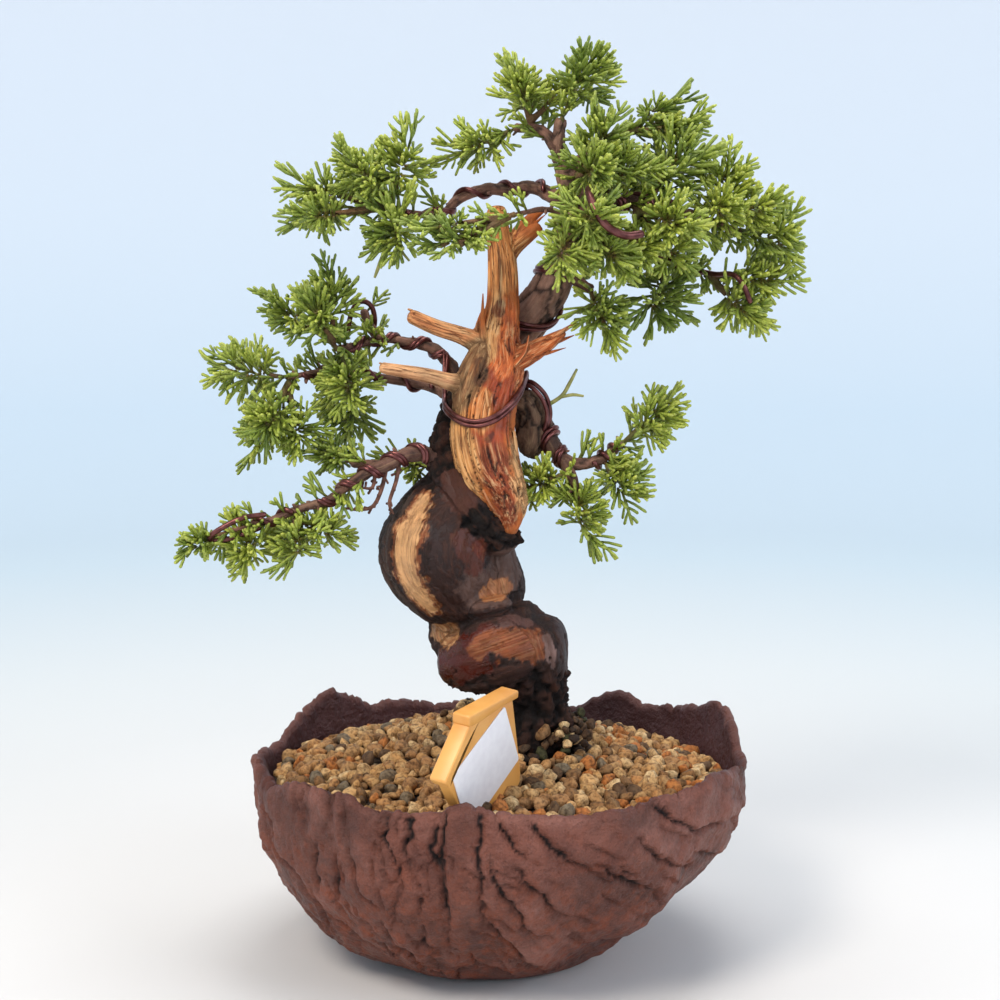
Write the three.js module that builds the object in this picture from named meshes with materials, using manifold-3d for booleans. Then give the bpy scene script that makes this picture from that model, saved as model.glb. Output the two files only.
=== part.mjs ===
// Itoigawa juniper bonsai: a coiled trunk with bare deadwood, wired branches and sprays of
// cord-like scale-leaf shoots, standing in a handmade bowl of granular soil.
// Millimetres, +Z up. The origin is the centre of the bowl's flat underside, and -Y is the front.
import * as THREE from "three";
import { mergeVertices } from "three/addons/utils/BufferGeometryUtils.js";
import Module from "manifold-3d";

const wasm = await Module();
wasm.setup();

// Gaps between pieces that touch on the real thing
const SEAT_GAP = 0.4;
const CURVED_GAP = 0.6;
const LEAF_GAP = 0.45;
const STEM_GAP = 0.6;

// Bowl
const BOWL_AROUND = 48;
const WALL = 6;
const FLOOR = 8;
const RIM_HEIGHT = 72;
const RIM_STRETCHES_ABOVE = 30;
const FOOT_RADIUS = 38;
const FOLD_DEPTH = 1.1;
const FOLDS_AROUND = 9;
const FOLDS_FADE_BELOW = 12;
const DRAIN_RADIUS = 7;
const DRAIN_OFFSET = 20;

// Drain nets
const NET_WIDTH = 25;
const NET_THICKNESS = 0.8;
const NET_BAR = 1.6;
const NET_HOLES_ACROSS = 3;

// Soil
const SOIL_AROUND = 36;
const SOIL_RINGS = 7;
const SOIL_RING_SHARE = 0.82;
const GRAIN_RISE = 3.2;
const GRAINS_FROM_RADIUS = 20;
const GRAINS_TO_RADIUS = 85;
const GRAINS_ABOVE = 62;
const MOUND_CREST = 84.5;
const MOUND_EDGE = 66.5;

// Branches
const BRANCH_SIDES = 5;

// Foliage
const SHOOT_RADIUS = 0.9;
const STEM_RADIUS = 1.4;
const TWIG_RADIUS = 1.1;
const TWIG_SIDES = 4;
const LEAFY_RINGS = 3;
const BRANCHED_FROM_REACH = 16;
const FORK_SHARE = 0.64;
const FORK_REACH = 0.42;
const LONGEST_STEM = 34;
const LEAFY_DEPTH = 0.45;
const FIRST_SHOOT = 2.5;
const SHOOT_LEAN = [-0.75, 0.95];
const SHOOT_SPREAD = [0.88, 1];
const SHOOT_LENGTHS = [1, 0.8, 0.6, 0.45];

// Wire
const MAIN_WIRE = 1.6;
const THIN_WIRE = 1.15;
const WIRE_SIDES = 5;
const STEPS_PER_TURN = 6;

// The torn rim: [azimuth in degrees, height]. 0 is the right side and 90 the back.
const RIM = [
  [0, 71], [8, 79], [20, 84], [38, 75], [50, 73], [56, 77], [69, 69], [90, 68], [115, 70],
  [130, 74], [139, 82], [152, 76], [163, 68], [180, 70], [196, 77], [208, 70], [221, 77],
  [233, 77], [241, 73], [257, 75], [263, 77], [267, 74], [294, 73], [312, 76], [330, 76],
  [348, 73], [360, 71],
];

// The bowl's outer wall from foot to rim: [radius, height, how far the right side sits inwards].
const OUTER = [
  [FOOT_RADIUS, 0, 0], [45, 2, 5], [53, 7, 8], [63, 15, 8], [74, 26, 5], [83, 38, 3],
  [89, 50, 1], [92, 62, 0], [92.5, RIM_HEIGHT, 0],
];
const INNER = [
  [45, FLOOR, 4], [57, 15, 7], [68, 26, 5], [77, 38, 3], [83, 50, 1], [86, 62, 0],
  [92.5 - WALL, RIM_HEIGHT, 0],
];

// Wood as chains of stations: [x, y, z, radius].
const ROOT_FLARE = [
  [11, 0, 50, 18], [11, 0, 64, 18.5], [12, 0, 74, 17], [12, 0, 85, 13.5], [14, 0, 94, 12],
  [12, -2, 106, 14], [10, -4, 115, 15.5], [8, -5, 122, 14], [7, -5, 127, 9],
];
const LOWER_COIL = [[9, -4, 117, 15], [1, -8, 115, 15.5], [-7, -7, 112, 14.5], [-12, -6, 110, 10]];
const COIL_KNEE = [[-8, -2, 112, 11], [-16, 4, 119, 9.5], [-11, 6, 126, 11]];
const UPPER_LUMP = [
  [-10, 2, 129, 14], [-18, 0, 140, 20.5], [-21, 0, 151, 22.5], [-17, 2, 162, 19], [-11, 3, 169, 16.5],
];
const LUMP_RIGHT = [[-11, 3, 128, 13], [-3, 3, 135, 12.2], [-5, 3, 145, 12], [-10, 2, 154, 14]];
const NECK = [
  [-16, 2, 162, 17], [-11, 3, 170, 16.5], [-10, 4, 180, 14.5], [-10, 8, 191, 13], [-11, 12, 200, 11],
];
const LIVE_VEIN = [
  [-11, 12, 195, 11.5], [-10, 17, 204, 10.5], [-6, 20, 215, 9.6], [2, 19, 226, 9], [11, 13, 237, 8.4],
  [18, 8, 247, 7.6], [23, 4, 258, 6.6], [26, 0, 267, 5.6], [27, -2, 278, 4.6], [24, 0, 289, 3.8],
  [21, 2, 298, 3], [22, 0, 308, 2.4],
];
const BRANCHES = {
  low_left: [
    [-20, 0, 181, 4.2], [-28, -4, 187, 3.6], [-35, -8, 187, 3.2], [-42, -12, 184, 2.9],
    [-49, -14, 181, 2.5], [-55, -15, 177, 2.2], [-62, -17, 172, 2], [-72, -19, 169, 1.7],
    [-84, -23, 165, 1.4], [-96, -26, 162, 1.1],
  ],
  low_left_fork: [[-42, -12, 184, 2.2], [-48, -9, 184, 1.8], [-54, -6, 184, 1.4]],
  mid_left: [
    [-13, 10, 208, 5], [-20, 13, 221, 4], [-27, 14, 226, 3.4], [-36, 13, 228, 2.9], [-45, 10, 229, 2.5],
    [-53, 4, 227, 2.1], [-60, -3, 226, 1.8],
  ],
  mid_left_fork: [[-45, 10, 229, 2.1], [-49, 13, 234, 1.8], [-51, 16, 239, 1.5]],
  mid_low: [
    [-15, 13, 205, 4.4], [-24, 17, 210, 3.4], [-33, 19, 212, 2.9], [-44, 18, 214, 2.5], [-56, 14, 216, 2.1],
    [-67, 8, 217, 1.8], [-78, 3, 215, 1.5],
  ],
  up_left: [
    [26, -2, 277, 4.2], [19, 8, 282, 3.9], [11, 12, 285, 3.6], [3, 12, 284, 3.3], [-7, 12, 284, 3],
    [-16, 10, 280, 2.6], [-22, 6, 275, 2.2], [-31, 0, 275, 1.9], [-39, -4, 277, 1.6],
  ],
  crown_right: [
    [26, -2, 274, 4.2], [38, -8, 278, 3.4], [50, -6, 279, 2.9], [66, 2, 276, 2.3], [78, 8, 272, 1.9],
    [88, 11, 269, 1.6],
  ],
  crown_low: [
    [26, 0, 267, 4], [37, 4, 268, 3.2], [48, 10, 263, 2.8], [62, 14, 258, 2.3], [75, 13, 254, 1.8],
  ],
  crown_front: [[26, -1, 271, 3.6], [27, -9, 272, 2.5], [28, -15, 272, 1.8]],
  crown_back: [[27, -2, 278, 3.6], [30, 9, 280, 2.6], [34, 19, 283, 1.9]],
  front_shoot: [[27, -8, 272, 1.9], [17, -16, 276, 1.6], [5, -22, 274, 1.3]],
  top_left: [[21, 2, 298, 2.4], [15, 4, 305, 1.9], [6, 4, 306, 1.5]],
  top_right: [[24, 0, 289, 2.8], [33, 6, 297, 2], [44, 9, 304, 1.6]],
  low_mid: [[22, 4, 256, 3.4], [28, 0, 251, 2.4], [33, -3, 248, 1.8]],
  right_low: [
    [-8, 17, 201, 7.5], [2, 20, 202, 7.2], [10, 20, 202, 6.6], [15, 15, 198, 4.8], [19, 9, 191, 3.4],
    [23, 5, 185, 2.7], [30, 3, 183, 2.2], [38, 3, 185, 1.9], [45, 4, 190, 1.6],
  ],
  right_hang: [[23, 5, 185, 2.2], [26, 0, 180, 1.9], [28, -2, 175, 1.5]],
  neck_twig: [[-18, 10, 180, 2.4], [-27, 11, 181, 1.6]],
};
const DEADWOOD_COLUMN = [
  [4, -14, 158, 3], [2, -12, 164, 8], [-1, -9, 171, 12], [-3, -7, 182, 13.6], [-4, -5, 193, 14.2],
  [-5, -3, 204, 13.6], [-4, -2, 213, 12.6], [-4, 0, 222, 11.2], [-1, 0, 231, 8.8], [1, 0, 244, 7.8],
  [1, 0, 258, 6.6], [0, 0, 267, 5.6], [0, 0, 276, 4.2],
];
const DEADWOOD_STUBS = [
  [[-5, -2, 227, 4.6], [-14, -5, 231, 3.2], [-23, -8, 234, 2.9], [-32, -10, 238, 2.4]],
  [[-8, -4, 212, 4.6], [-17, -10, 214, 3.4], [-27, -15, 217, 2.7], [-42, -20, 220, 2.1]],
  [[0, -2, 219, 5], [10, -4, 224, 3.9], [19, -5, 229, 2.6], [27, -6, 235, 1]],
  [[1, 0, 258, 4.6], [5, 1, 263, 3.6], [10, 2, 267, 3], [14, 3, 270, 2.2]],
  [[3, 0, 262, 3.6], [7, 3, 269, 2.6], [12, 5, 274, 2.2], [16, 6, 277, 1.4]],
  [[-8, -3, 227, 3.4], [-7, -2, 235, 2.2], [-6, -1, 242, 1.3], [-5, -1, 247, 0.6]],
];

// Sprays of foliage: name, centre and reach along x, y and z.
const SPRAYS = [
  ["low_left_a", [-72, -19, 160], [17, 14, 15]],
  ["low_left_b", [-90, -24, 157], [13, 10, 8]],
  ["low_left_c", [-107, -27, 158], [9, 7, 6]],
  ["low_left_d", [-60, -4, 187], [10, 9, 7]],
  ["mid_left_a", [-66, -8, 238], [20, 17, 17]],
  ["mid_left_b", [-55, 0, 216], [16, 15, 14]],
  ["mid_left_c", [-92, 0, 217], [15, 15, 13]],
  ["mid_left_d", [-81, -8, 199], [17, 15, 14]],
  ["mid_left_e", [-56, 17, 202], [13, 12, 10]],
  ["up_left_a", [-43, -4, 288], [20, 18, 18]],
  ["up_left_b", [-62, -8, 277], [16, 14, 13]],
  ["up_left_c", [-37, -10, 270], [14, 13, 15]],
  ["front_shoot", [-14, -31, 267], [17, 8, 8]],
  ["top_a", [29, 0, 322], [16, 16, 14]],
  ["top_b", [12, 6, 316], [17, 16, 12]],
  ["top_c", [-7, 3, 300], [12, 10, 8]],
  ["top_d", [58, 11, 308], [16, 14, 10]],
  ["crown_a", [36, -14, 292], [22, 18, 17]],
  ["crown_b", [60, -2, 289], [20, 18, 15]],
  ["crown_c", [30, -27, 266], [20, 16, 18]],
  ["crown_d", [55, -17, 267], [20, 17, 18]],
  ["crown_e", [84, 2, 278], [19, 18, 16]],
  ["crown_f", [100, 12, 266], [15, 15, 17]],
  ["crown_g", [89, 10, 246], [19, 16, 16]],
  ["crown_h", [58, 5, 246], [18, 15, 13]],
  ["crown_i", [38, 26, 286], [19, 15, 16]],
  ["low_mid", [36, -8, 240], [13, 12, 10]],
  ["right_a", [55, 4, 199], [13, 12, 12]],
  ["right_b", [43, 1, 177], [14, 13, 9]],
  ["right_c", [30, -3, 165], [13, 13, 12]],
  ["right_d", [15, 0, 176], [8, 9, 12]],
  ["neck", [-32, 12, 182], [7, 7, 6]],
];

// Plant label: outlines in the label's own plane, which leans and faces front right.
const LABEL_ORIGIN = new THREE.Vector3(-8, -72, 69);
const LABEL_FACING = new THREE.Vector3(0.86, -0.5, -0.11);
const LABEL_THICKNESS = 4;
const LABEL_FACE = [[-26, 18], [-9, 3], [9, -4], [24, 3], [28, 9], [17, 40], [-21, 40]];
const LABEL_LIP = [[-29, 19], [-24.5, 43.5], [9, 46], [20, 41.5], [18, 37], [-18, 37], [-23, 16.5]];
const LABEL_LIP_DEPTH = 7;
const LABEL_STAKE = [[-5, 6], [-3, -26], [3, -26], [6, 6]];
const LABEL_STAKE_THICKNESS = 2.4;
const LABEL_STAKE_FRONT = -0.8;
const STICKER = [[-17, 20.5], [-7.5, 7], [3, 6], [24.5, 16], [12, 35]];
const STICKER_THICKNESS = 0.6;
const STICKER_FRONT = STICKER_THICKNESS + 0.3;

const colours = {
  bowl: [0x6f443d, 0.72, 0],
  soil: [0xb08d5e, 0.95, 0],
  net: [0x2c2f2e, 0.6, 0],
  bark: [0x4a2b20, 0.85, 0],
  deadwood: [0xc8783f, 0.7, 0],
  leaf: [0x7ea23c, 0.6, 0],
  wire: [0x5a3a36, 0.35, 0.9],
  label: [0xe3ac56, 0.45, 0],
  sticker: [0xf3ebec, 0.5, 0],
};
const group = new THREE.Group();

let seed = 20417;
// Even random numbers from 0 to 1, the same on every run.
function random() {
  seed = (seed * 1664525 + 1013904223) % 4294967296;
  return seed / 4294967296;
}

// The value at x of a line through [x, y, ...] rows, taken from the given column.
function along(rows, x, from, column) {
  const last = rows.findIndex((row) => row[from] >= x);
  if (last <= 0) return rows.at(last)[column];
  const [before, after] = [rows[last - 1], rows[last]];
  const part = (x - before[from]) / (after[from] - before[from]);
  return THREE.MathUtils.lerp(before[column], after[column], part);
}

// A closed geometry as a manifold solid.
function solid(geometry) {
  const bare = geometry.clone();
  bare.deleteAttribute("normal");
  bare.deleteAttribute("uv");
  const merged = mergeVertices(bare, 1e-4);
  return new wasm.Manifold(
    new wasm.Mesh({
      numProp: 3,
      vertProperties: new Float32Array(merged.attributes.position.array),
      triVerts: new Uint32Array(merged.index.array),
    }),
  );
}

function join(geometries) {
  return wasm.Manifold.union(geometries.map(solid));
}

// The largest of a cut solid's bodies, so that a loose scrap is dropped.
function mainBody(cut) {
  return cut.decompose().sort((a, b) => b.volume() - a.volume())[0];
}

// Adds a solid to the group as a named mesh.
function addPiece(name, made, [colour, roughness, metalness]) {
  const { vertProperties, triVerts } = made.getMesh();
  const geometry = new THREE.BufferGeometry();
  geometry.setAttribute("position", new THREE.BufferAttribute(vertProperties, 3));
  geometry.setIndex(new THREE.BufferAttribute(triVerts, 1));
  geometry.computeVertexNormals();
  const material = new THREE.MeshStandardMaterial({ color: colour, roughness, metalness });
  const mesh = new THREE.Mesh(geometry, material);
  mesh.name = name;
  group.add(mesh);
}

// A limb: a closed cylinder bent along a smooth curve through its stations, with domed ends.
function limb(stations, sides, ringsPerSpan, fluteDepth = 0, flutes = 0, grow = 0) {
  const rings = (stations.length - 1) * ringsPerSpan;
  const curve = new THREE.CatmullRomCurve3(stations.map(([x, y, z]) => new THREE.Vector3(x, y, z)));
  const bent = new THREE.CylinderGeometry(1, 1, 1, sides, rings);
  const across = new THREE.Vector3(0.3, 0.9, 0.2);
  const frames = [];
  for (let ring = 0; ring <= rings; ring++) {
    const t = ring / rings;
    const ahead = curve.getTangent(t);
    across.addScaledVector(ahead, -across.dot(ahead)).normalize();
    const station = Math.min(Math.floor(t * (stations.length - 1)), stations.length - 2);
    const part = t * (stations.length - 1) - station;
    const radius = THREE.MathUtils.lerp(stations[station][3], stations[station + 1][3], part);
    frames.push({ point: curve.getPoint(t), ahead, across: across.clone(), radius: radius + grow });
  }
  const place = bent.attributes.position;
  for (let i = 0; i < place.count; i++) {
    const [x, y, z] = [place.getX(i), place.getY(i), place.getZ(i)];
    const { point, ahead, across: normal, radius } = frames[Math.round((y + 0.5) * rings)];
    const beside = new THREE.Vector3().crossVectors(normal, ahead);
    const size = radius * (1 + fluteDepth * Math.cos(flutes * Math.atan2(z, x) + 2 * y));
    const dome = x * x + z * z < 0.5 ? Math.sign(y) * radius * 0.5 : 0;
    const moved = point.clone().addScaledVector(normal, x * size);
    moved.addScaledVector(beside, z * size).addScaledVector(ahead, dome);
    place.setXYZ(i, moved.x, moved.y, moved.z);
  }
  return bent;
}

// Places taken so far, as round-ended segments, so that foliage keeps clear of what other pieces fill.
const taken = [];
function take(from, to, radius, owner) {
  const middle = from.clone().lerp(to, 0.5);
  const half = from.distanceTo(to) / 2 + radius;
  taken.push({ line: new THREE.Line3(from, to), middle, half, radius, owner });
}

// Whether a segment keeps clear of all that is taken, apart from what the named owner takes itself.
function isClear(from, to, radius, owner) {
  const line = new THREE.Line3(from, to);
  const middle = from.clone().lerp(to, 0.5);
  const half = from.distanceTo(to) / 2 + radius;
  return taken.every((other) => {
    if (other.owner.startsWith(owner)) return true;
    if (middle.distanceTo(other.middle) > half + other.half + LEAF_GAP) return true;
    const closest = Math.sqrt(line.distanceSqToLine3(other.line));
    return closest > radius + other.radius + LEAF_GAP;
  });
}

// The centre, direction and radius of a limb at a fractional station.
function frameOnChain(stations, at) {
  const curve = new THREE.CatmullRomCurve3(stations.map(([x, y, z]) => new THREE.Vector3(x, y, z)));
  const t = at / (stations.length - 1);
  const station = Math.min(Math.floor(at), stations.length - 2);
  const radius = THREE.MathUtils.lerp(stations[station][3], stations[station + 1][3], at - station);
  return { axis: curve.getPoint(t), ahead: curve.getTangent(t), radius };
}

function takeChain(stations, owner) {
  const step = 0.25;
  for (let at = step; at <= stations.length - 1; at += step) {
    const before = frameOnChain(stations, at - step);
    const after = frameOnChain(stations, at);
    take(before.axis, after.axis, (before.radius + after.radius) / 2, owner);
  }
}

// Bowl

function rimStretch(azimuth) {
  return (along(RIM, azimuth, 0, 1) - RIM_STRETCHES_ABOVE) / (RIM_HEIGHT - RIM_STRETCHES_ABOVE);
}

function degreesAround(x, y) {
  return (THREE.MathUtils.radToDeg(Math.atan2(y, x)) + 360) % 360;
}

// Upright folds on the left of the bowl turn into slanting ones on its right.
function foldAt(azimuth, height) {
  const turn = THREE.MathUtils.degToRad(azimuth);
  const slant = 0.05 * height * (1 + Math.cos(turn));
  return FOLD_DEPTH * Math.sin(FOLDS_AROUND * turn + slant) * Math.min(1, height / FOLDS_FADE_BELOW);
}

// Moves a point of the round bowl to its place on the handmade one.
function onBowl(radius, height, inset, azimuth) {
  const turn = THREE.MathUtils.degToRad(azimuth);
  const raised = Math.max(0, height - RIM_STRETCHES_ABOVE);
  const z = Math.min(height, RIM_STRETCHES_ABOVE) + raised * rimStretch(azimuth);
  const r = radius - inset * Math.cos(turn);
  return new THREE.Vector3(r * Math.cos(turn), r * Math.sin(turn), z);
}

// A turned shape whose profile points are placed by a rule that knows the azimuth.
function turned(profile, segments, rule) {
  const flat = profile.map(([radius], row) => new THREE.Vector2(radius, row));
  const geometry = new THREE.LatheGeometry(flat, segments);
  const place = geometry.attributes.position;
  for (let i = 0; i < place.count; i++) {
    const row = Math.round(place.getY(i));
    const around = Math.floor(i / profile.length) % segments;
    const moved = rule(profile[row], (360 * around) / segments);
    place.setXYZ(i, moved.x, moved.y, moved.z);
  }
  return geometry;
}

function bowl() {
  const outside = OUTER.map((row) => [...row, true]);
  const profile = [[0, 0, 0], ...outside, ...INNER.toReversed(), [0, FLOOR, 0]];
  const shell = turned(profile, BOWL_AROUND, ([radius, height, inset, folded], azimuth) => {
    return onBowl(radius + (folded ? foldAt(azimuth, height) : 0), height, inset, azimuth);
  });
  const drains = [-1, 1].map((side) => {
    const hole = new THREE.CylinderGeometry(DRAIN_RADIUS, DRAIN_RADIUS, 4 * FLOOR, 16);
    return hole.rotateX(Math.PI / 2).translate(side * DRAIN_OFFSET, 0, 0);
  });
  return solid(shell).subtract(join(drains));
}

// Soil

function moundEdge(azimuth) {
  const turn = THREE.MathUtils.degToRad(azimuth);
  return MOUND_EDGE - 0.5 * Math.cos(turn) - 3 * Math.sin(turn);
}

// The mound falls from the trunk to the wall, and its front is lower than its back.
function moundHeight(x, y, wallRadius) {
  const turn = Math.atan2(y, x);
  const crest = MOUND_CREST - 3 * Math.cos(turn) + 4.5 * Math.sin(turn);
  const edge = moundEdge(degreesAround(x, y));
  return THREE.MathUtils.lerp(crest, edge, Math.hypot(x, y) / wallRadius);
}

// The bowl's inner radius at a height on one azimuth, with the inset that goes with it.
function innerWall(height, azimuth) {
  const above = Math.max(0, height - RIM_STRETCHES_ABOVE);
  const drawn = Math.min(height, RIM_STRETCHES_ABOVE) + above / rimStretch(azimuth);
  return [along(INNER, drawn, 1, 0), drawn, along(INNER, drawn, 1, 2)];
}

function soilWallPoint(height, azimuth) {
  const [radius, drawn, inset] = innerWall(height, azimuth);
  return onBowl(radius - CURVED_GAP, drawn, inset, azimuth);
}

// A point of the mound's top, at a share of the way from the middle to the wall.
function moundPoint(share, azimuth) {
  const edge = soilWallPoint(moundEdge(azimuth), azimuth);
  const [x, y] = [edge.x * share, edge.y * share];
  return new THREE.Vector3(x, y, moundHeight(x, y, Math.hypot(edge.x, edge.y)));
}

// Splits each face of a geometry from the given one on about a raised middle, which rise(centre) places.
function raised(geometry, isRaised, rise) {
  const faces = geometry.toNonIndexed().attributes.position;
  const out = [];
  for (let face = 0; face < faces.count / 3; face++) {
    const corners = [0, 1, 2].map((i) => new THREE.Vector3().fromBufferAttribute(faces, 3 * face + i));
    const centre = corners[0].clone().add(corners[1]).add(corners[2]).divideScalar(3);
    const tip = isRaised(centre, face) ? rise(centre) : null;
    if (tip) [0, 1, 2].forEach((i) => out.push(corners[i], corners[(i + 1) % 3], tip));
    else out.push(...corners);
  }
  return new THREE.BufferGeometry().setFromPoints(out);
}

// Soil: a mound whose top is covered in grains larger than life, raised from its faces.
function soil(pockets) {
  const top = Array.from({ length: SOIL_RINGS + 1 }, (_, ring) => [SOIL_RING_SHARE ** ring, "top"]);
  const [[floorRadius, , floorInset], ...wallRows] = INNER;
  const sides = wallRows.filter(([, height]) => height < MOUND_EDGE - 6).map(([, height]) => [1, height]);
  const bottom = FLOOR + SEAT_GAP;
  const profile = [[0, bottom], [floorRadius, bottom], ...sides, ...top, [0, "top"]];
  const mound = turned(profile, SOIL_AROUND, ([share, height], azimuth) => {
    if (height === "top") {
      const strayed = share < 1 ? share * (1 + 0.045 * Math.sin(7 * azimuth + 91 * share)) : 1;
      return moundPoint(strayed, azimuth);
    }
    if (share === 0) return new THREE.Vector3(0, 0, height);
    if (share === 1) return soilWallPoint(height, azimuth);
    return onBowl(share - CURVED_GAP, FLOOR, floorInset, azimuth).setZ(height);
  });
  const isTop = (centre) => centre.z > GRAINS_ABOVE && Math.hypot(centre.x, centre.y) > GRAINS_FROM_RADIUS;
  const grainy = raised(mound, isTop, (centre) => {
    const out = Math.hypot(centre.x, centre.y);
    const size = THREE.MathUtils.mapLinear(out, GRAINS_FROM_RADIUS, GRAINS_TO_RADIUS, 0.5, 1);
    return centre.clone().setZ(centre.z + GRAIN_RISE * size * (0.6 + 0.4 * random()));
  });
  return mainBody(solid(grainy).subtract(pockets));
}

// A net of flat plastic bars with lozenge openings, over one drain hole.
function drainNet(side) {
  const half = NET_WIDTH / 2;
  const corners = [[-half, -half], [half, -half], [half, half], [-half, half]];
  const outline = new THREE.Shape(corners.map(([u, v]) => new THREE.Vector2(u, v)));
  const pitch = (NET_WIDTH - NET_BAR) / NET_HOLES_ACROSS;
  const hole = (pitch - NET_BAR) / 2;
  for (let row = 0; row < NET_HOLES_ACROSS; row++) {
    for (let column = 0; column < NET_HOLES_ACROSS; column++) {
      const middle = new THREE.Vector2(column + 0.5, row + 0.5).multiplyScalar(pitch);
      middle.addScalar(NET_BAR / 2 - half);
      const lozenge = [[0, -hole], [hole, 0], [0, hole], [-hole, 0]];
      const points = lozenge.map(([u, v]) => new THREE.Vector2(middle.x + u, middle.y + v));
      outline.holes.push(new THREE.Path(points));
    }
  }
  const net = new THREE.ExtrudeGeometry(outline, { depth: NET_THICKNESS, bevelEnabled: false });
  return net.translate(side * DRAIN_OFFSET, 0, FLOOR + SEAT_GAP);
}

function netPocket(side) {
  const width = NET_WIDTH + 2 * SEAT_GAP;
  const height = 2 * (SEAT_GAP + NET_THICKNESS);
  const box = new THREE.BoxGeometry(width, width, height);
  return box.translate(side * DRAIN_OFFSET, 0, FLOOR + SEAT_GAP + NET_THICKNESS / 2);
}

// Wire

// Points of wire wound round a chain from one station to another.
function wound(stations, from, to, turns, wireRadius, startTurn = 0) {
  const steps = Math.round(Math.abs(turns) * STEPS_PER_TURN);
  const points = [];
  for (let step = 0; step <= steps; step++) {
    const { axis, ahead, radius } = frameOnChain(stations, from + ((to - from) * step) / steps);
    const front = new THREE.Vector3(0, -1, 0);
    front.addScaledVector(ahead, -front.dot(ahead)).normalize();
    const beside = new THREE.Vector3().crossVectors(ahead, front);
    const angle = 2 * Math.PI * (startTurn + (turns * step) / steps);
    const reach = (radius + wireRadius + SEAT_GAP) / Math.cos(Math.PI / STEPS_PER_TURN);
    axis.addScaledVector(front, reach * Math.cos(angle)).addScaledVector(beside, reach * Math.sin(angle));
    points.push(axis);
  }
  return points;
}

function wireAlong(points, radius) {
  const section = new THREE.Shape();
  for (let side = 0; side < WIRE_SIDES; side++) {
    const angle = (2 * Math.PI * side) / WIRE_SIDES;
    section[side ? "lineTo" : "moveTo"](radius * Math.cos(angle), radius * Math.sin(angle));
  }
  section.closePath();
  const extrudePath = new THREE.CatmullRomCurve3(points);
  return new THREE.ExtrudeGeometry(section, { steps: points.length - 1, extrudePath, bevelEnabled: false });
}

const point = (x, y, z) => new THREE.Vector3(x, y, z);
const WIRES = {
  wire_low_pair: [
    MAIN_WIRE,
    [
      ...wound(BRANCHES.right_low, 5.1, 2.2, -3, MAIN_WIRE, 0.3),
      point(14, -6, 208),
      point(8, -15, 207),
      point(-2, -19.6, 202),
      point(-13, -18.2, 198.5),
      point(-21, -11, 203),
      point(-23, 0, 209),
      ...wound(BRANCHES.mid_left, 1.1, 5.4, -4.5, MAIN_WIRE, 0.1),
    ],
  ],
  wire_mid_low: [THIN_WIRE, wound(BRANCHES.mid_low, 1.1, 5.6, 5.5, THIN_WIRE)],
  wire_low_left: [MAIN_WIRE, wound(BRANCHES.low_left, 0.9, 6.2, 5.3, MAIN_WIRE, 0.9)],
  wire_low_left_end: [THIN_WIRE, wound(BRANCHES.low_left, 7.3, 8.4, 2, THIN_WIRE)],
  wire_live_vein: [
    MAIN_WIRE,
    [
      ...wound(LIVE_VEIN, 4.45, 7.1, 2.5, MAIN_WIRE, 0.3),
      ...wound(BRANCHES.crown_right, 0.9, 2.7, 2.5, MAIN_WIRE, 0.3),
    ],
  ],
  wire_up_left: [THIN_WIRE, wound(BRANCHES.up_left, 1.2, 7.4, 6, THIN_WIRE)],
  wire_crown_low: [THIN_WIRE, wound(BRANCHES.crown_low, 1.2, 3.7, 3.5, THIN_WIRE)],
  wire_right_low: [THIN_WIRE, wound(BRANCHES.right_low, 6.6, 7.8, 2, THIN_WIRE)],
  wire_top: [THIN_WIRE, wound(BRANCHES.top_right, 0.6, 1.8, 2.5, THIN_WIRE)],
};

// The wires that bite into the bark where they start or cross the trunk
const SUNKEN_WIRES = ["wire_low_pair", "wire_low_left", "wire_live_vein"];

// Wood

// Stations, sides, rings for each span, depth of the flutes and number of flutes, from the ground up
const TRUNK_LIMBS = [
  [ROOT_FLARE, 13, 1, 0.06, 5],
  [LOWER_COIL, 11, 2, 0, 0],
  [COIL_KNEE, 10, 2, 0, 0],
  [UPPER_LUMP, 13, 2, 0, 0],
  [LUMP_RIGHT, 10, 2, 0, 0],
  [NECK, 11, 1, 0.05, 5],
  [LIVE_VEIN, 8, 1, 0.05, 3],
];

function trunk() {
  const branches = Object.values(BRANCHES).map((stations) => limb(stations, BRANCH_SIDES, 1));
  return join([...TRUNK_LIMBS.map((shape) => limb(...shape)), ...branches]);
}

function deadwood(grow) {
  return join([
    limb(DEADWOOD_COLUMN, 10, 1, 0.07, 4, grow),
    ...DEADWOOD_STUBS.map((stations) => limb(stations, BRANCH_SIDES, 1, 0, 0, grow)),
  ]);
}

// Foliage

// The nearest place on the branches to a spray's centre from which a stem has a free way to it.
function stemFor(name, centre, size) {
  const starts = [];
  for (const stations of [LIVE_VEIN, ...Object.values(BRANCHES)]) {
    for (let at = 1; at <= stations.length - 1; at += 0.25) {
      const frame = frameOnChain(stations, at);
      starts.push({ ...frame, isTip: at === stations.length - 1, distance: frame.axis.distanceTo(centre) });
    }
  }
  starts.sort((a, b) => a.distance - b.distance);
  for (const { axis, ahead, radius, isTip, distance } of starts) {
    const way = centre.clone().sub(axis).normalize();
    const slant = Math.abs(way.dot(ahead));
    const facesTip = isTip && way.dot(ahead) > 0;
    const skin = facesTip
      ? radius * (1 - 0.5 * slant) + STEM_RADIUS * Math.sqrt(1 - slant * slant)
      : radius + STEM_RADIUS * slant;
    const root = axis.clone().addScaledVector(way, skin + STEM_GAP);
    if (distance > LONGEST_STEM) break;
    if (distance > skin + 2 && isFreeTwig(name, root, centre, size)) return root;
  }
  throw new Error("no free way for the stem of " + name);
}

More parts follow.
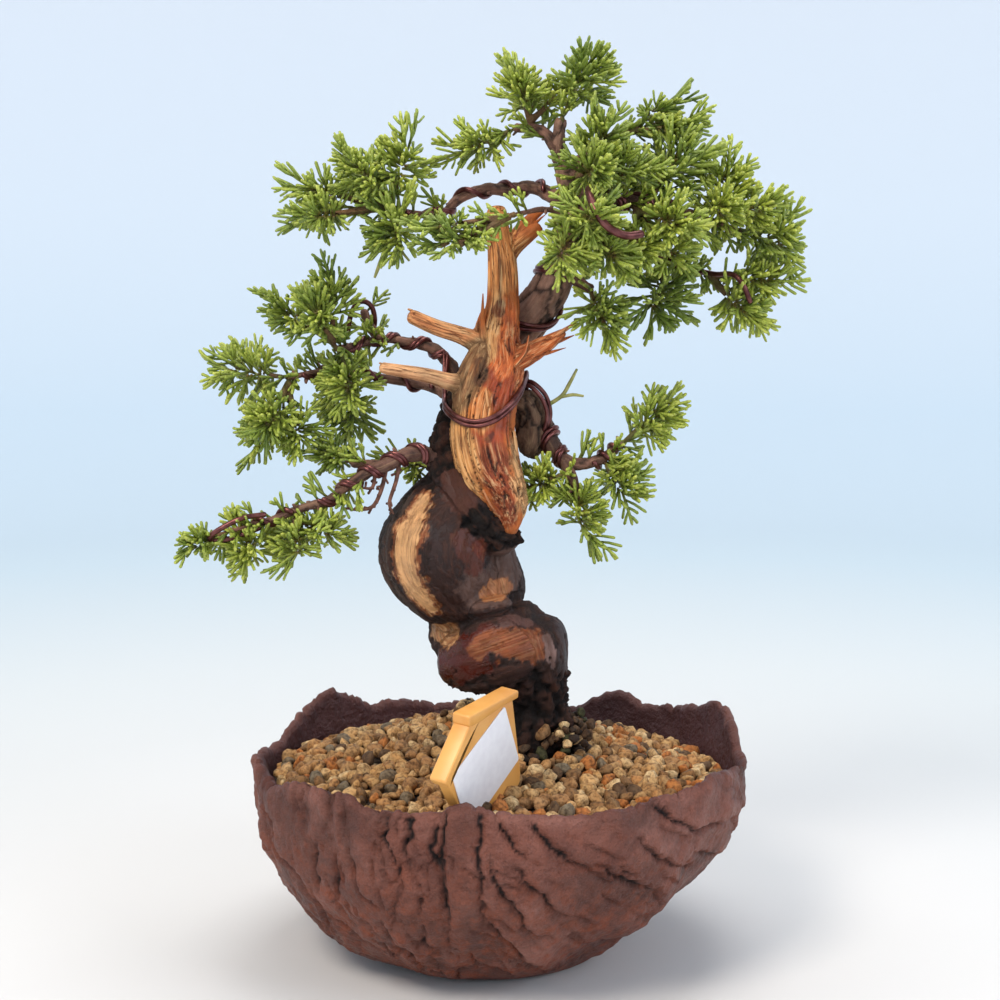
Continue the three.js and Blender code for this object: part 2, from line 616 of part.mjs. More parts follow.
// How far along a twig's stem its shoots start and end.
function leafyStretch(root, centre, size) {
  const way = centre.clone().sub(root).normalize();
  const depth = LEAFY_DEPTH * way.clone().multiply(size).length();
  const middle = centre.distanceTo(root);
  const start = Math.max(FIRST_SHOOT, middle - depth);
  return { way, start, finish: Math.max(start + 3, middle + depth) };
}

// Whether a twig's stem can run clear of what is taken.
function isFreeTwig(name, root, centre, size) {
  const { way, finish } = leafyStretch(root, centre, size);
  const start = root.clone().addScaledVector(way, STEM_RADIUS + 2 * SEAT_GAP);
  return isClear(start, root.clone().addScaledVector(way, finish), STEM_RADIUS, name);
}

// One twig of a spray: a slim stem whose far wall faces are drawn out into three-sided shoots, which
// fan out evenly to an ellipsoid about the twig's centre.
function planTwig(owner, root, centre, size) {
  const { way, start, finish } = leafyStretch(root, centre, size);
  const station = (distance, radius) => [...root.clone().addScaledVector(way, distance).toArray(), radius];
  const leafy = Array.from({ length: LEAFY_RINGS + 1 }, (_, ring) => {
    return station(THREE.MathUtils.lerp(start, finish, ring / LEAFY_RINGS), TWIG_RADIUS);
  });
  take(root, root.clone().addScaledVector(way, finish), STEM_RADIUS, owner);
  return { owner, root, centre, size, way, start, finish, stations: [station(0, STEM_RADIUS), ...leafy] };
}

function leafyTwig({ owner, root, centre, size, way, start, finish, stations }) {
  const stem = limb(stations, TWIG_SIDES, 1);
  const spans = LEAFY_RINGS + 1;
  const isLeafy = (_, face) => face < 2 * TWIG_SIDES * spans && Math.floor(face / 2) % spans < LEAFY_RINGS;
  return raised(stem, isLeafy, (foot) => {
    const out = foot.clone().sub(root);
    const distance = out.dot(way);
    const lean = THREE.MathUtils.mapLinear(distance, start, finish, ...SHOOT_LEAN);
    const beside = out.addScaledVector(way, -distance).setLength(Math.sqrt(1 - lean * lean));
    const spread = THREE.MathUtils.lerp(...SHOOT_SPREAD, random());
    const tip = beside.addScaledVector(way, lean).multiply(size).multiplyScalar(spread).add(centre);
    for (const length of SHOOT_LENGTHS) {
      const end = foot.clone().lerp(tip, length);
      const middle = foot.clone().lerp(end, 0.5);
      const isFootClear = isClear(foot, middle, SHOOT_RADIUS, owner);
      if (!isFootClear || !isClear(middle, end, 0.5 * SHOOT_RADIUS, owner)) continue;
      take(foot, middle, SHOOT_RADIUS, owner);
      take(middle, end, 0.5 * SHOOT_RADIUS, owner);
      return end;
    }
    return null;
  });
}

// Moves a stem's root along its way until it lies just off the wood that carries it.
function seat(root, way, wood) {
  const foot = root.clone().addScaledVector(way, FIRST_SHOOT);
  const stations = [root, foot].map((end) => [...end.toArray(), STEM_RADIUS]);
  const gap = wood.minGap(solid(limb(stations, TWIG_SIDES, 1)), STEM_RADIUS + STEM_GAP);
  root.addScaledVector(way, SEAT_GAP - gap);
}

// The twigs of a spray: one, or three that fork from one foot where it reaches far.
function planSpray([name, place, reach], wood) {
  const centre = new THREE.Vector3(...place);
  const size = new THREE.Vector3(...reach);
  const forkSize = size.clone().multiplyScalar(FORK_SHARE);
  const root = stemFor(name, centre, forkSize);
  const way = centre.clone().sub(root).normalize();
  seat(root, way, wood);
  const sideways = new THREE.Vector3(0, 0, 1).addScaledVector(way, -way.z).normalize();
  const forks = reach[0] < BRANCHED_FROM_REACH ? [] : [0, 1, 2].map((fork) => {
    const across = sideways.clone().applyAxisAngle(way, (2 * Math.PI * fork) / 3);
    return across.addScaledVector(way, 0.15).multiply(size).multiplyScalar(FORK_REACH).add(centre);
  });
  const free = forks.filter((middle) => isFreeTwig(name, root, middle, forkSize));
  if (free.length < 2) return [planTwig(name + "/0", root, centre, size)];
  return free.map((middle, fork) => planTwig(name + "/" + fork, root, middle, forkSize));
}

// Label

function labelSlab(outline, front, thickness, grow = 0) {
  const corners = outline.map(([u, v]) => new THREE.Vector2(u, v));
  const middle = new THREE.Vector2();
  for (const corner of corners) middle.addScaledVector(corner, 1 / corners.length);
  for (const corner of corners) {
    corner.sub(middle);
    corner.setLength(corner.length() + 1.5 * grow).add(middle);
  }
  const shape = new THREE.Shape(corners);
  const slab = new THREE.ExtrudeGeometry(shape, { depth: thickness + 2 * grow, bevelEnabled: false });
  slab.translate(0, 0, front - thickness - grow);
  const facing = LABEL_FACING.clone().normalize();
  const upright = new THREE.Vector3(0, 0, 1).addScaledVector(facing, -facing.z).normalize();
  const sideways = new THREE.Vector3().crossVectors(upright, facing);
  slab.applyMatrix4(new THREE.Matrix4().makeBasis(sideways, upright, facing));
  return slab.translate(LABEL_ORIGIN.x, LABEL_ORIGIN.y, LABEL_ORIGIN.z);
}

function labelTag(grow = 0) {
  return join([
    labelSlab(LABEL_FACE, 0, LABEL_THICKNESS, grow),
    labelSlab(LABEL_LIP, LABEL_LIP_DEPTH - LABEL_THICKNESS, LABEL_LIP_DEPTH, grow),
    labelSlab(LABEL_STAKE, LABEL_STAKE_FRONT, LABEL_STAKE_THICKNESS, grow),
  ]);
}

// Assembly

const bareWood = deadwood(0);
const wires = Object.entries(WIRES).map(([name, wire]) => [name, ...wire]);
const sunken = wires.filter(([name]) => SUNKEN_WIRES.includes(name));
const wireGrooves = join(sunken.map(([, radius, points]) => wireAlong(points, radius + SEAT_GAP)));
const wood = mainBody(trunk().subtract(deadwood(SEAT_GAP)).subtract(wireGrooves));
const pockets = wasm.Manifold.union([
  solid(limb(...TRUNK_LIMBS[0], CURVED_GAP)),
  labelTag(SEAT_GAP),
  join([netPocket(-1), netPocket(1)]),
]);

for (const [stations] of TRUNK_LIMBS) takeChain(stations, "trunk");
for (const stations of Object.values(BRANCHES)) takeChain(stations, "trunk");
for (const stations of [DEADWOOD_COLUMN, ...DEADWOOD_STUBS]) takeChain(stations, "deadwood");
for (const [name, radius, points] of wires) {
  points.slice(1).forEach((next, i) => take(points[i], next, radius, name));
}

addPiece("bowl", bowl(), colours.bowl);
addPiece("drain_net_left", solid(drainNet(-1)), colours.net);
addPiece("drain_net_right", solid(drainNet(1)), colours.net);
addPiece("soil", soil(pockets), colours.soil);
addPiece("trunk", wood, colours.bark);
addPiece("deadwood", bareWood, colours.deadwood);
for (const [name, radius, points] of wires) addPiece(name, solid(wireAlong(points, radius)), colours.wire);
const sprays = SPRAYS.map((spray) => [spray[0], planSpray(spray, wood)]);
for (const [name, twigs] of sprays) addPiece("spray_" + name, join(twigs.map(leafyTwig)), colours.leaf);
addPiece("label_tag", labelTag(), colours.label);
addPiece("label_sticker", solid(labelSlab(STICKER, STICKER_FRONT, STICKER_THICKNESS)), colours.sticker);

export default group;
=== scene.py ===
# %% [markdown]
# A wired juniper bonsai in a torn stoneware bowl. The CAD model fixes every size and place. Here each
# solid gets the surface of the real thing: fired clay, grit, bark, bare wood, foliage, wire and a label.
# The camera stands where the photographer stood, so it comes straight after the frame.

# %% Load the frame
import math

import bmesh
import bpy
import numpy as np
from mathutils import Matrix, Quaternion, Vector, noise


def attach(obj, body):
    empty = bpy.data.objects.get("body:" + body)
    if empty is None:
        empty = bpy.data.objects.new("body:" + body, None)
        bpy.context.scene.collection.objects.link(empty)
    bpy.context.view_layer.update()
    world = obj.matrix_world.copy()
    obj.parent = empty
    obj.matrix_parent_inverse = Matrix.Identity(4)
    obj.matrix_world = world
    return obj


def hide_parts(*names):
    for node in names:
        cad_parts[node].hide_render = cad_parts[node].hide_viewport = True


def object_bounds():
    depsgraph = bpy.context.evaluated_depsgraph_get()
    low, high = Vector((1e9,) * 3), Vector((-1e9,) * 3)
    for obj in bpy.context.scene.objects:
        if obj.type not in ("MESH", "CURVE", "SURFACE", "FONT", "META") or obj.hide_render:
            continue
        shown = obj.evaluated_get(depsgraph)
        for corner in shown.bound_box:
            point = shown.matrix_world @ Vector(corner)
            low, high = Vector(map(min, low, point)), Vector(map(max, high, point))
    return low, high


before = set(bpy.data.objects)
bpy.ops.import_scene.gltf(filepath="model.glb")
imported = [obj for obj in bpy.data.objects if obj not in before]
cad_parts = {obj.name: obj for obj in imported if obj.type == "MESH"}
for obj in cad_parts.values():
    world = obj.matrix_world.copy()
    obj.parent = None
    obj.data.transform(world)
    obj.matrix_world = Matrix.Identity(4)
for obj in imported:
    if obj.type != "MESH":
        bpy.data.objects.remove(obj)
CAD_BOX = [list(corner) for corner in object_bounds()]
MM = 0.001
print("CAD box in metres:", CAD_BOX)

# %% [markdown]
# The lens is a little longer than normal, and the camera looks down by about seven degrees, so that
# the soil shows as a thin ellipse inside the rim.

# %% Camera
CAMERA_PLACE = (0, -0.676, 0.256)
CAMERA_PITCH = math.radians(90 - 7.27)
LENS_MM = 66.0

camera_data = bpy.data.cameras.new("camera")
camera_data.lens = LENS_MM
camera_data.sensor_width = 36
camera = bpy.data.objects.new("camera", camera_data)
camera.location = CAMERA_PLACE
camera.rotation_euler = (CAMERA_PITCH, 0, 0)
bpy.context.scene.collection.objects.link(camera)
bpy.context.scene.camera = camera
print("camera at", CAMERA_PLACE)

# %% [markdown]
# Blender's usual view transform mutes strong colours. The plain one shows each colour as it was written,
# so a hex value can be held against the real surface, and the lamps are kept low enough not to clip.

# %% Colour as written
bpy.context.scene.view_settings.view_transform = "Standard"
print("view transform:", bpy.context.scene.view_settings.view_transform)

# %% [markdown]
# A material starts from a colour that someone can name, so colours are written as sRGB hex and turned to
# the linear values that the shader wants. One helper fills a node's inputs and one adds a node, which keeps
# each material readable as a list of what it mixes. Paint goes on in coats, and so does a material's colour:
# another helper lays them over a ground. Plain finishes, which only vary between two tones, share a recipe.

# %% Colours and nodes
def linear(hex_colour, alpha=1.0):
    """sRGB hex as linear red, green, blue and alpha."""
    channels = [int(hex_colour[i:i + 2], 16) / 255 for i in (1, 3, 5)]
    return [c / 12.92 if c <= 0.04045 else ((c + 0.055) / 1.055) ** 2.4 for c in channels] + [alpha]


def plug(tree, node, inputs):
    """Sets a node's inputs to values, or links them to sockets or to the first outputs of other nodes."""
    for name, value in inputs.items():
        if isinstance(value, bpy.types.Node):
            value = value.outputs[0]
        if isinstance(value, bpy.types.NodeSocket):
            tree.links.new(value, node.inputs[name])
        else:
            node.inputs[name].default_value = value


def add(tree, kind, inputs=None, stops=None, **settings):
    """Adds a shader node with its settings and inputs, and for a ramp the stops with their colours."""
    made = tree.nodes.new("ShaderNode" + kind)
    for name, value in settings.items():
        setattr(made, name, value)
    plug(tree, made, inputs or {})
    for index, (place, colour) in enumerate(stops or []):
        stop = made.color_ramp.elements[index] if index < 2 else made.color_ramp.elements.new(place)
        stop.position = place
        stop.color = colour if isinstance(colour, list) else linear(colour)
    return made


def per_mm(size):
    """The texture scale that gives features of this many millimetres on Object coordinates."""
    return 1 / (size * MM)


def new_finish(name):
    """An empty material, its node tree, its shader, and the place on the object in metres."""
    finish = bpy.data.materials.new(name)
    finish.use_nodes = True
    tree = finish.node_tree
    return finish, tree, tree.nodes["Principled BSDF"], add(tree, "TexCoord").outputs["Object"]


MIXED = 2
A, B = 6, 7
BLACK, WHITE = [0, 0, 0, 1], [1, 1, 1, 1]


def coated(tree, ground, *coats):
    """A ground colour with coats over it, each a share, a colour and, if it isn't opaque, how it blends."""
    for share, colour, *blend in coats:
        sockets = {0: share, A: ground, B: colour}
        ground = add(tree, "Mix", sockets, data_type="RGBA", blend_type=(*blend, "MIX")[0]).outputs[MIXED]
    return ground


def mottled(name, size, detail, stops, roughness, relief=None, harsh=0.5):
    """A finish of two tones in patches this many millimetres wide, and a strength and depth of its dents."""
    finish, tree, shader, place = new_finish(name)
    patches = add(tree, "TexNoise", {"Vector": place, "Scale": per_mm(size), "Detail": detail,
                                     "Roughness": harsh})
    tone = add(tree, "ValToRGB", {"Fac": patches}, stops=stops)
    plug(tree, shader, {"Base Color": tone, "Roughness": roughness})
    if relief:
        dents = add(tree, "Bump", {"Height": patches, "Strength": relief[0], "Distance": relief[1] * MM})
        plug(tree, shader, {"Normal": dents})
    return finish


print("helpers for colours and nodes are ready")

# %% [markdown]
# A studio sweep: a round floor that curves up into a wall on every side, so that no horizon line cuts
# the picture from any angle. The wall turns from warm white to a pale blue, as lit paper does higher up.

# %% Stage and light
FLOOR_RADIUS = 1.1
SWEEP_RADIUS = 0.5
WALL_TOP = 1.5


def turned(bm, profile, steps, gap):
    """Spins a line of points about the upright axis, and closes the seam and the poles."""
    edges = [bm.edges.new(pair) for pair in zip(profile, profile[1:])]
    bmesh.ops.spin(bm, geom=profile + edges, cent=(0, 0, 0), axis=(0, 0, 1),
                   angle=2 * math.pi, steps=steps, use_merge=True)
    bmesh.ops.remove_doubles(bm, verts=bm.verts, dist=gap)


sweep_bm = bmesh.new()
corner_steps = 12
profile = [(0, 0), (FLOOR_RADIUS, 0)]
for step in range(1, corner_steps + 1):
    turn = math.pi / 2 * step / corner_steps
    profile.append((FLOOR_RADIUS + SWEEP_RADIUS * math.sin(turn), SWEEP_RADIUS * (1 - math.cos(turn))))
profile.append((FLOOR_RADIUS + SWEEP_RADIUS, WALL_TOP))
turned(sweep_bm, [sweep_bm.verts.new((x, 0, z)) for x, z in profile], 96, 1e-5)
bmesh.ops.recalc_face_normals(sweep_bm, faces=sweep_bm.faces)
sweep_mesh = bpy.data.meshes.new("sweep")
sweep_bm.to_mesh(sweep_mesh)
sweep_bm.free()
sweep_mesh.shade_smooth()

# Seamless card, painted: white under the bowl and a soft pale blue further out, with nothing for the eye.
# Its far parts give off a little light of their own: painted light, though there is no lamp in the card.
card, tree, shader, place = new_finish("studio card with painted light")
reach = add(tree, "VectorMath", {0: place}, operation="LENGTH")
share = add(tree, "MapRange", {"Value": reach.outputs["Value"], "From Min": 0.2, "From Max": 1.7})
tint = add(tree, "ValToRGB", {"Fac": share},
           stops=[(0, "#D6D4D2"), (1.0, "#C6CCD4"), (0.2, "#D2D5D5"), (0.5, "#C4D1D8"), (0.8, "#BCCAD5")])
painted_glow = add(tree, "MapRange", {"Value": reach.outputs["Value"], "From Min": 0.35, "From Max": 1.6,
                              "To Max": 0.42})
plug(tree, shader, {"Base Color": tint, "Emission Color": tint, "Emission Strength": painted_glow,
                    "Roughness": 0.95, "Specular IOR Level": 0.1})
sweep_mesh.materials.append(card)
stage = bpy.data.objects.new("studio_sweep", sweep_mesh)
bpy.context.scene.collection.objects.link(stage)

world = bpy.data.worlds.new("soft sky")
world.use_nodes = True
plug(world.node_tree, world.node_tree.nodes["Background"], {"Color": linear("#E6EEF6"), "Strength": 0.52})
bpy.context.scene.world = world


def soft_light(name, place, size, watts, colour):
    """A square lamp that faces the middle of the tree."""
    data = bpy.data.lights.new(name, "AREA")
    data.size, data.energy, data.color = size, watts, linear(colour)[:3]
    lamp = bpy.data.objects.new(name, data)
    lamp.location = place
    lamp.rotation_euler = (Vector((0, 0, 0.16)) - Vector(place)).to_track_quat("-Z", "Y").to_euler()
    bpy.context.scene.collection.objects.link(lamp)


soft_light("key", (-0.5, -0.7, 1.0), 0.4, 10, "#FFF5E8")
soft_light("fill", (0.85, -0.55, 0.6), 0.6, 4, "#F0F5FF")
soft_light("top", (0.1, 0.2, 1.3), 0.7, 9, "#FFFFFF")
print("stage and lights are set")

# %% [markdown]
# Everything that grew is a limb: a round section that follows a curve and changes in thickness. One
# smooth curve through a few chosen stations does for trunk, twigs, shoots and wire alike. Stations are
# [x, y, z, radius] in millimetres, the same ones that the CAD model is built on.

# %% Curves and limbs
def spline(stations, spacing):
    """Rows of [x, y, z, radius], about `spacing` apart, on a smooth curve through the stations."""
    rows = np.array(stations, float)
    padded = np.vstack([2 * rows[0] - rows[1], rows, 2 * rows[-1] - rows[-2]])
    out = []
    for p0, p1, p2, p3 in zip(padded, padded[1:], padded[2:], padded[3:]):
        steps = max(1, round(np.linalg.norm(p2[:3] - p1[:3]) / spacing))
        t = np.linspace(0, 1, steps, endpoint=False)[:, None]
        bend = (2 * p0 - 5 * p1 + 4 * p2 - p3) * t ** 2 + (3 * p1 - p0 - 3 * p2 + p3) * t ** 3
        out.append(p1 + 0.5 * ((p2 - p0) * t + bend))
    return np.vstack(out + [rows[-1:]])


def axes_along(path):
    """Unit directions ahead, across and beside at each point, which turn no more than the path does."""
    ahead = np.gradient(path[:, :3], axis=0)
    ahead /= np.linalg.norm(ahead, axis=1)[:, None]
    across = np.empty_like(ahead)
    last = np.array([0.3, 0.9, 0.2])
    for index, direction in enumerate(ahead):
        last = last - direction * last.dot(direction)
        last /= np.linalg.norm(last)
        across[index] = last
    return ahead, across, np.cross(ahead, across)


def limb(stations, sides, spacing, domed=True):
    """A bmesh of a circle extruded ring by ring along the curve through the stations."""
    path = spline(stations, spacing)
    ahead, across, beside = axes_along(path)
    rings = [(path[i, :3], path[i, 3], i) for i in range(len(path))]
    if domed:
        first, last = path[0], path[-1]
        rings = [
            (first[:3] - ahead[0] * 0.55 * first[3], 0.3 * first[3], 0),
            (first[:3] - ahead[0] * 0.4 * first[3], 0.75 * first[3], 0),
            *rings,
            (last[:3] + ahead[-1] * 0.4 * last[3], 0.75 * last[3], -1),
            (last[:3] + ahead[-1] * 0.55 * last[3], 0.3 * last[3], -1),
        ]
    places = []
    for centre, radius, i in rings:
        columns = [Vector(axis[i]) * radius for axis in (across, beside, ahead)]
        matrix = Matrix([[*row] for row in zip(*columns)]).to_4x4()
        places.append(Matrix.Translation(Vector(centre)) @ matrix)
    bm = bmesh.new()
    bmesh.ops.create_circle(bm, cap_ends=False, segments=sides, radius=1, matrix=places[0])
    edges = list(bm.edges)
    for before, after in zip(places, places[1:]):
        made = bmesh.ops.extrude_edge_only(bm, edges=edges)["geom"]
        edges = [part for part in made if isinstance(part, bmesh.types.BMEdge) and part.is_boundary]
        verts = [part for part in made if isinstance(part, bmesh.types.BMVert)]
        bmesh.ops.transform(bm, matrix=after @ before.inverted(), verts=verts)
    bmesh.ops.holes_fill(bm, edges=[edge for edge in bm.edges if edge.is_boundary])
    bmesh.ops.recalc_face_normals(bm, faces=bm.faces)
    return bm


def to_mesh(name, *parts):
    """One mesh from one or more bmeshes, which are used up."""
    whole = bmesh.new()
    for part in parts:
        scratch = bpy.data.meshes.new(name)
        part.to_mesh(scratch)
        part.free()
        whole.from_mesh(scratch)
        bpy.data.meshes.remove(scratch)
    mesh = bpy.data.meshes.new(name)
    whole.to_mesh(mesh)
    whole.free()
    return mesh


print("limb helpers are ready")

# %% [markdown]
# Bark and bare wood carry streaks that run along the limb, even where it coils. So each point of a wooden
# surface is told its place in the nearest limb: how far across, how far beside and how far along. Noise
# that is read in those three numbers, squeezed lengthwise, follows the grain and has no seam.

# %% Points, grain and noise
def points_of(mesh):
    """A mesh's points as rows of x, y and z."""
    flat = np.empty(3 * len(mesh.vertices))
    mesh.vertices.foreach_get("co", flat)
    return flat.reshape(-1, 3)


def push(mesh, amount):
    """Moves each point of a mesh out along its normal."""
    normals = np.empty(3 * len(mesh.vertices))
    mesh.vertex_normals.foreach_get("vector", normals)
    moved = points_of(mesh) + normals.reshape(-1, 3) * amount[:, None]
    mesh.vertices.foreach_set("co", moved.ravel())
    mesh.update()


def keep(mesh, name, values):
    """Stores a number, a vector or a colour on each point."""
    values = np.asarray(values, np.float32)
    width = 1 if values.ndim == 1 else values.shape[1]
    kind, field = {1: ("FLOAT", "value"), 3: ("FLOAT_VECTOR", "vector"), 4: ("FLOAT_COLOR", "color")}[width]
    mesh.attributes.new(name, kind, "POINT").data.foreach_set(field, values.ravel())


LIMBS_APART = 97
POINTS_AT_ONCE = 2000


def grain_place(points, limbs):
    """Each point's place in the nearest limb: across, beside and along, in millimetres."""
    rows = []
    for stations in limbs:
        path = spline(stations, 1.5)
        steps = np.linalg.norm(np.diff(path[:, :3], axis=0), axis=1)
        run = np.concatenate([[0], np.cumsum(steps)]) + LIMBS_APART * len(rows)
        rows.append(np.hstack([path, *axes_along(path), run[:, None]]))
    rows = np.vstack(rows)
    out = np.empty_like(points)
    for start in range(0, len(points), POINTS_AT_ONCE):
        batch = slice(start, start + POINTS_AT_ONCE)
        some = points[batch]
        gap = np.linalg.norm(some[:, None] - rows[None, :, :3], axis=2) - rows[:, 3]
        near = rows[gap.argmin(1)]
        away = some - near[:, :3]
        out[batch, 0] = (away * near[:, 7:10]).sum(1)
        out[batch, 1] = (away * near[:, 10:13]).sum(1)
        out[batch, 2] = near[:, 13] + (away * near[:, 4:7]).sum(1)
    return out


def rumple(places, size, octaves=3, seed=0):
    """Smooth noise of about -1 to 1 at each place, with features of this size."""
    shift = Vector((17.3 * seed, 5.1 * seed, 29.7 * seed))
    return np.array([noise.fractal(Vector(p) / size + shift, 1.0, 2.0, octaves) for p in places])


def soft_step(value, low, high):
    """0 below low, 1 above high, and a smooth change between."""
    t = np.clip((value - low) / (high - low), 0, 1)
    return t * t * (3 - 2 * t)


def keep_wood(mesh, flow, paint, rough, grain, painted_cleft_shade):
    """Stores what the wood finish reads at each point. A plain number holds for the whole mesh."""
    stored = {"flow": flow, "paint": paint, "rough": rough, "grain": grain, "painted_cleft_shade": painted_cleft_shade}
    for name, values in stored.items():
        keep(mesh, name, values if np.ndim(values) else np.full(len(mesh.vertices), values))


def piece(name, mesh, finish, replaces=()):
    """Turns a mesh in millimetres into a piece of the object that rides on its body."""
    mesh.transform(Matrix.Scale(MM, 4))
    mesh.shade_smooth()
    mesh.materials.clear()
    mesh.materials.append(finish)
    made = bpy.data.objects.new(name, mesh)
    bpy.context.scene.collection.objects.link(made)
    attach(made, "root")
    if replaces:
        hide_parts(*replaces)
    print(f"{name}: {len(mesh.polygons)} faces")


print("surface helpers are ready")

# %% [markdown]
# The bowl is hand-pressed stoneware: slabs of clay folded over each other, pulled to a torn rim. It starts
# as a turned profile, because the spin gives an even mesh to work on, and each point is then moved by what
# the hands did: a rim that rises and falls, a right side that leans in, folds, and long cracks. The
# numbers are the CAD model's.

# %% Bowl: driving sizes
RIM = np.array([
    (0, 71), (8, 79), (20, 84), (38, 75), (50, 73), (56, 77), (69, 69), (90, 68), (115, 70),
    (130, 74), (139, 82), (152, 76), (163, 68), (180, 70), (196, 77), (208, 70), (221, 77),
    (233, 77), (241, 73), (257, 75), (263, 77), (267, 74), (294, 73), (312, 76), (330, 76),
    (348, 73), (360, 71),
], float)
RIM_HEIGHT = 72
RIM_STRETCHES_ABOVE = 30
WALL = 6
FLOOR = 8
OUTER = np.array([
    (38, 0, 0), (45, 2, 5), (53, 7, 8), (63, 15, 8), (74, 26, 5), (83, 38, 3),
    (89, 50, 1), (92, 62, 0), (92.5, RIM_HEIGHT, 0),
], float)
INNER = np.array([
    (45, FLOOR, 4), (57, 15, 7), (68, 26, 5), (77, 38, 3), (83, 50, 1), (86, 62, 0),
    (92.5 - WALL, RIM_HEIGHT, 0),
], float)
BOWL_SEGMENTS = 560


def rim_stretch(azimuth):
    """How far the wall above its lower part is drawn up at each azimuth, in degrees."""
    rim = np.interp(azimuth, RIM[:, 0], RIM[:, 1])
    return (rim - RIM_STRETCHES_ABOVE) / (RIM_HEIGHT - RIM_STRETCHES_ABOVE)


def wall_radius(wall, azimuth, z):
    """The radius of the outer or inner wall at an azimuth and a height."""
    above = np.maximum(0, z - RIM_STRETCHES_ABOVE)
    drawn = np.minimum(z, RIM_STRETCHES_ABOVE) + above / rim_stretch(azimuth)
    inset = np.interp(drawn, wall[:, 1], wall[:, 2])
    return np.interp(drawn, wall[:, 1], wall[:, 0]) - inset * np.cos(np.radians(azimuth))


print("wall at the front rim:", wall_radius(OUTER, 270.0, 70.0))

# %% [markdown]
# The spin keeps a number on each point that says which wall it belongs to, because inside and outside are
# treated differently: only the outside has the deep cracks. A smooth curve through the driving sizes takes
# the corners out of the profile.

# %% Bowl: turned blank
OUTSIDE_SPACING = 0.9
INSIDE_SPACING = 1.9


def smooth_wall(wall, spacing):
    """A wall's profile as rows of radius, 0, height and inset, on a smooth curve."""
    return spline([(radius, 0, z, inset) for radius, z, inset in wall], spacing)


lip = [(92.0, 73.2), (91.3, 74.1), (90.0, 74.5), (88.4, 74.0), (87.2, 73.0)]
foot = [(0, 0), (12, 0), (24, 0), (32, 0), (35.5, 0)]
floor_line = [(30, FLOOR), (15, FLOOR), (0, FLOOR)]
outside = foot + [(row[0], row[2]) for row in smooth_wall(OUTER, OUTSIDE_SPACING)]
inside = [(row[0], row[2]) for row in smooth_wall(INNER, INSIDE_SPACING)[::-1]] + floor_line
blank = bmesh.new()
wall_layer = blank.verts.layers.float.new("outside")
profile = []
for index, (radius, z) in enumerate(outside + lip + inside):
    point = blank.verts.new((radius, 0, z))
    point[wall_layer] = np.interp(index, [len(outside), len(outside) + len(lip)], [1, 0])
    profile.append(point)
turned(blank, profile, BOWL_SEGMENTS, 0.01)
bmesh.ops.recalc_face_normals(blank, faces=blank.faces)
bowl_mesh = to_mesh("bowl", blank)
print("turned blank:", len(bowl_mesh.vertices), "points")

# %% [markdown]
# Each crack is a line of [azimuth in degrees, height] on the outer wall. On the left they stand upright,
# and on the right they sweep down to the right, where one slab of clay was pressed over the next. The
# back, which has the same kind of cracks, gets its own by a seeded draw, and so do the short shallow ones
# all over the front. A crack that starts at the rim is widest there, and the others taper at both ends.

# %% Bowl: cracks
FRONT_CRACKS = [
    [(226, 58), (223, 46), (222, 37)], [(232, 55), (230, 43), (228, 36)],
    [(246, 72), (245, 66), (247, 61), (249, 52), (247, 37)], [(251, 72), (251, 66), (250, 61), (252, 48)],
    [(257, 70), (256, 62), (258, 54), (258, 44), (256, 37)], [(236, 58), (237, 50), (238, 44), (242, 40)],
    [(215, 38), (220, 30), (226, 23), (231, 17)], [(208, 60), (209, 50), (215, 44), (217, 38)],
    [(200, 68), (209, 64), (210, 55)], [(190, 66), (193, 52), (198, 42)],
    [(268, 66), (268, 60), (269, 54), (271, 47), (275, 40), (276, 34), (284, 28)],
    [(270, 72), (273, 65), (276, 60)],
    [(272, 59), (274, 57), (275, 54), (279, 48), (282, 42), (287, 37), (296, 31)],
    [(277, 72), (281, 65), (285, 59), (289, 56), (294, 49)],
    [(290, 59), (294, 54), (299, 49), (306, 44), (315, 38)], [(299, 65), (305, 56), (312, 50), (326, 42)],
    [(306, 72), (311, 65), (316, 60), (328, 59), (345, 57)], [(266, 39), (271, 30), (275, 22), (282, 12)],
    [(277, 71), (279, 67), (282, 63), (283, 58)], [(293, 27), (302, 28), (308, 31), (320, 33)],
    [(318, 52), (330, 46), (340, 42)], [(240, 30), (243, 22), (246, 15)], [(296, 20), (306, 17), (320, 17)],
]
STRAP_EDGES = [
    [(259, 73), (258, 60), (258, 49), (258, 34), (255, 19)],
    [(266, 73), (266, 64), (266, 53), (266, 41), (266, 30)],
]
random = np.random.default_rng(31)
back_cracks = []
for azimuth in np.linspace(2, 178, 17):
    slant = random.uniform(-1, 1)
    start, depth = random.uniform(48, 72), random.uniform(18, 40)
    back_cracks.append([
        (azimuth + slant * step * 4.5 + random.uniform(-1.5, 1.5), start - depth * step / 4)
        for step in range(5)
    ])
SHORT_CRACKS = 46
short_cracks = []
for _ in range(SHORT_CRACKS):
    azimuth, z = random.uniform(183, 352), random.uniform(14, 66)
    is_left = azimuth < 262
    turns, drop = (random.uniform(-1, 1.2), 4.2) if is_left else (random.uniform(2.6, 4.2), 3.2)
    short_cracks.append([
        (azimuth + turns * step + random.uniform(-0.6, 0.6), z - drop * step)
        for step in range(int(random.integers(3, 5)))
    ])
CRACKS = FRONT_CRACKS + STRAP_EDGES + back_cracks + short_cracks
SHORT_CRACK_DEPTH = 0.6
MM_PER_DEGREE = math.radians(1) * 84
SLOPE = 1.15
SLABS_FROM = 264


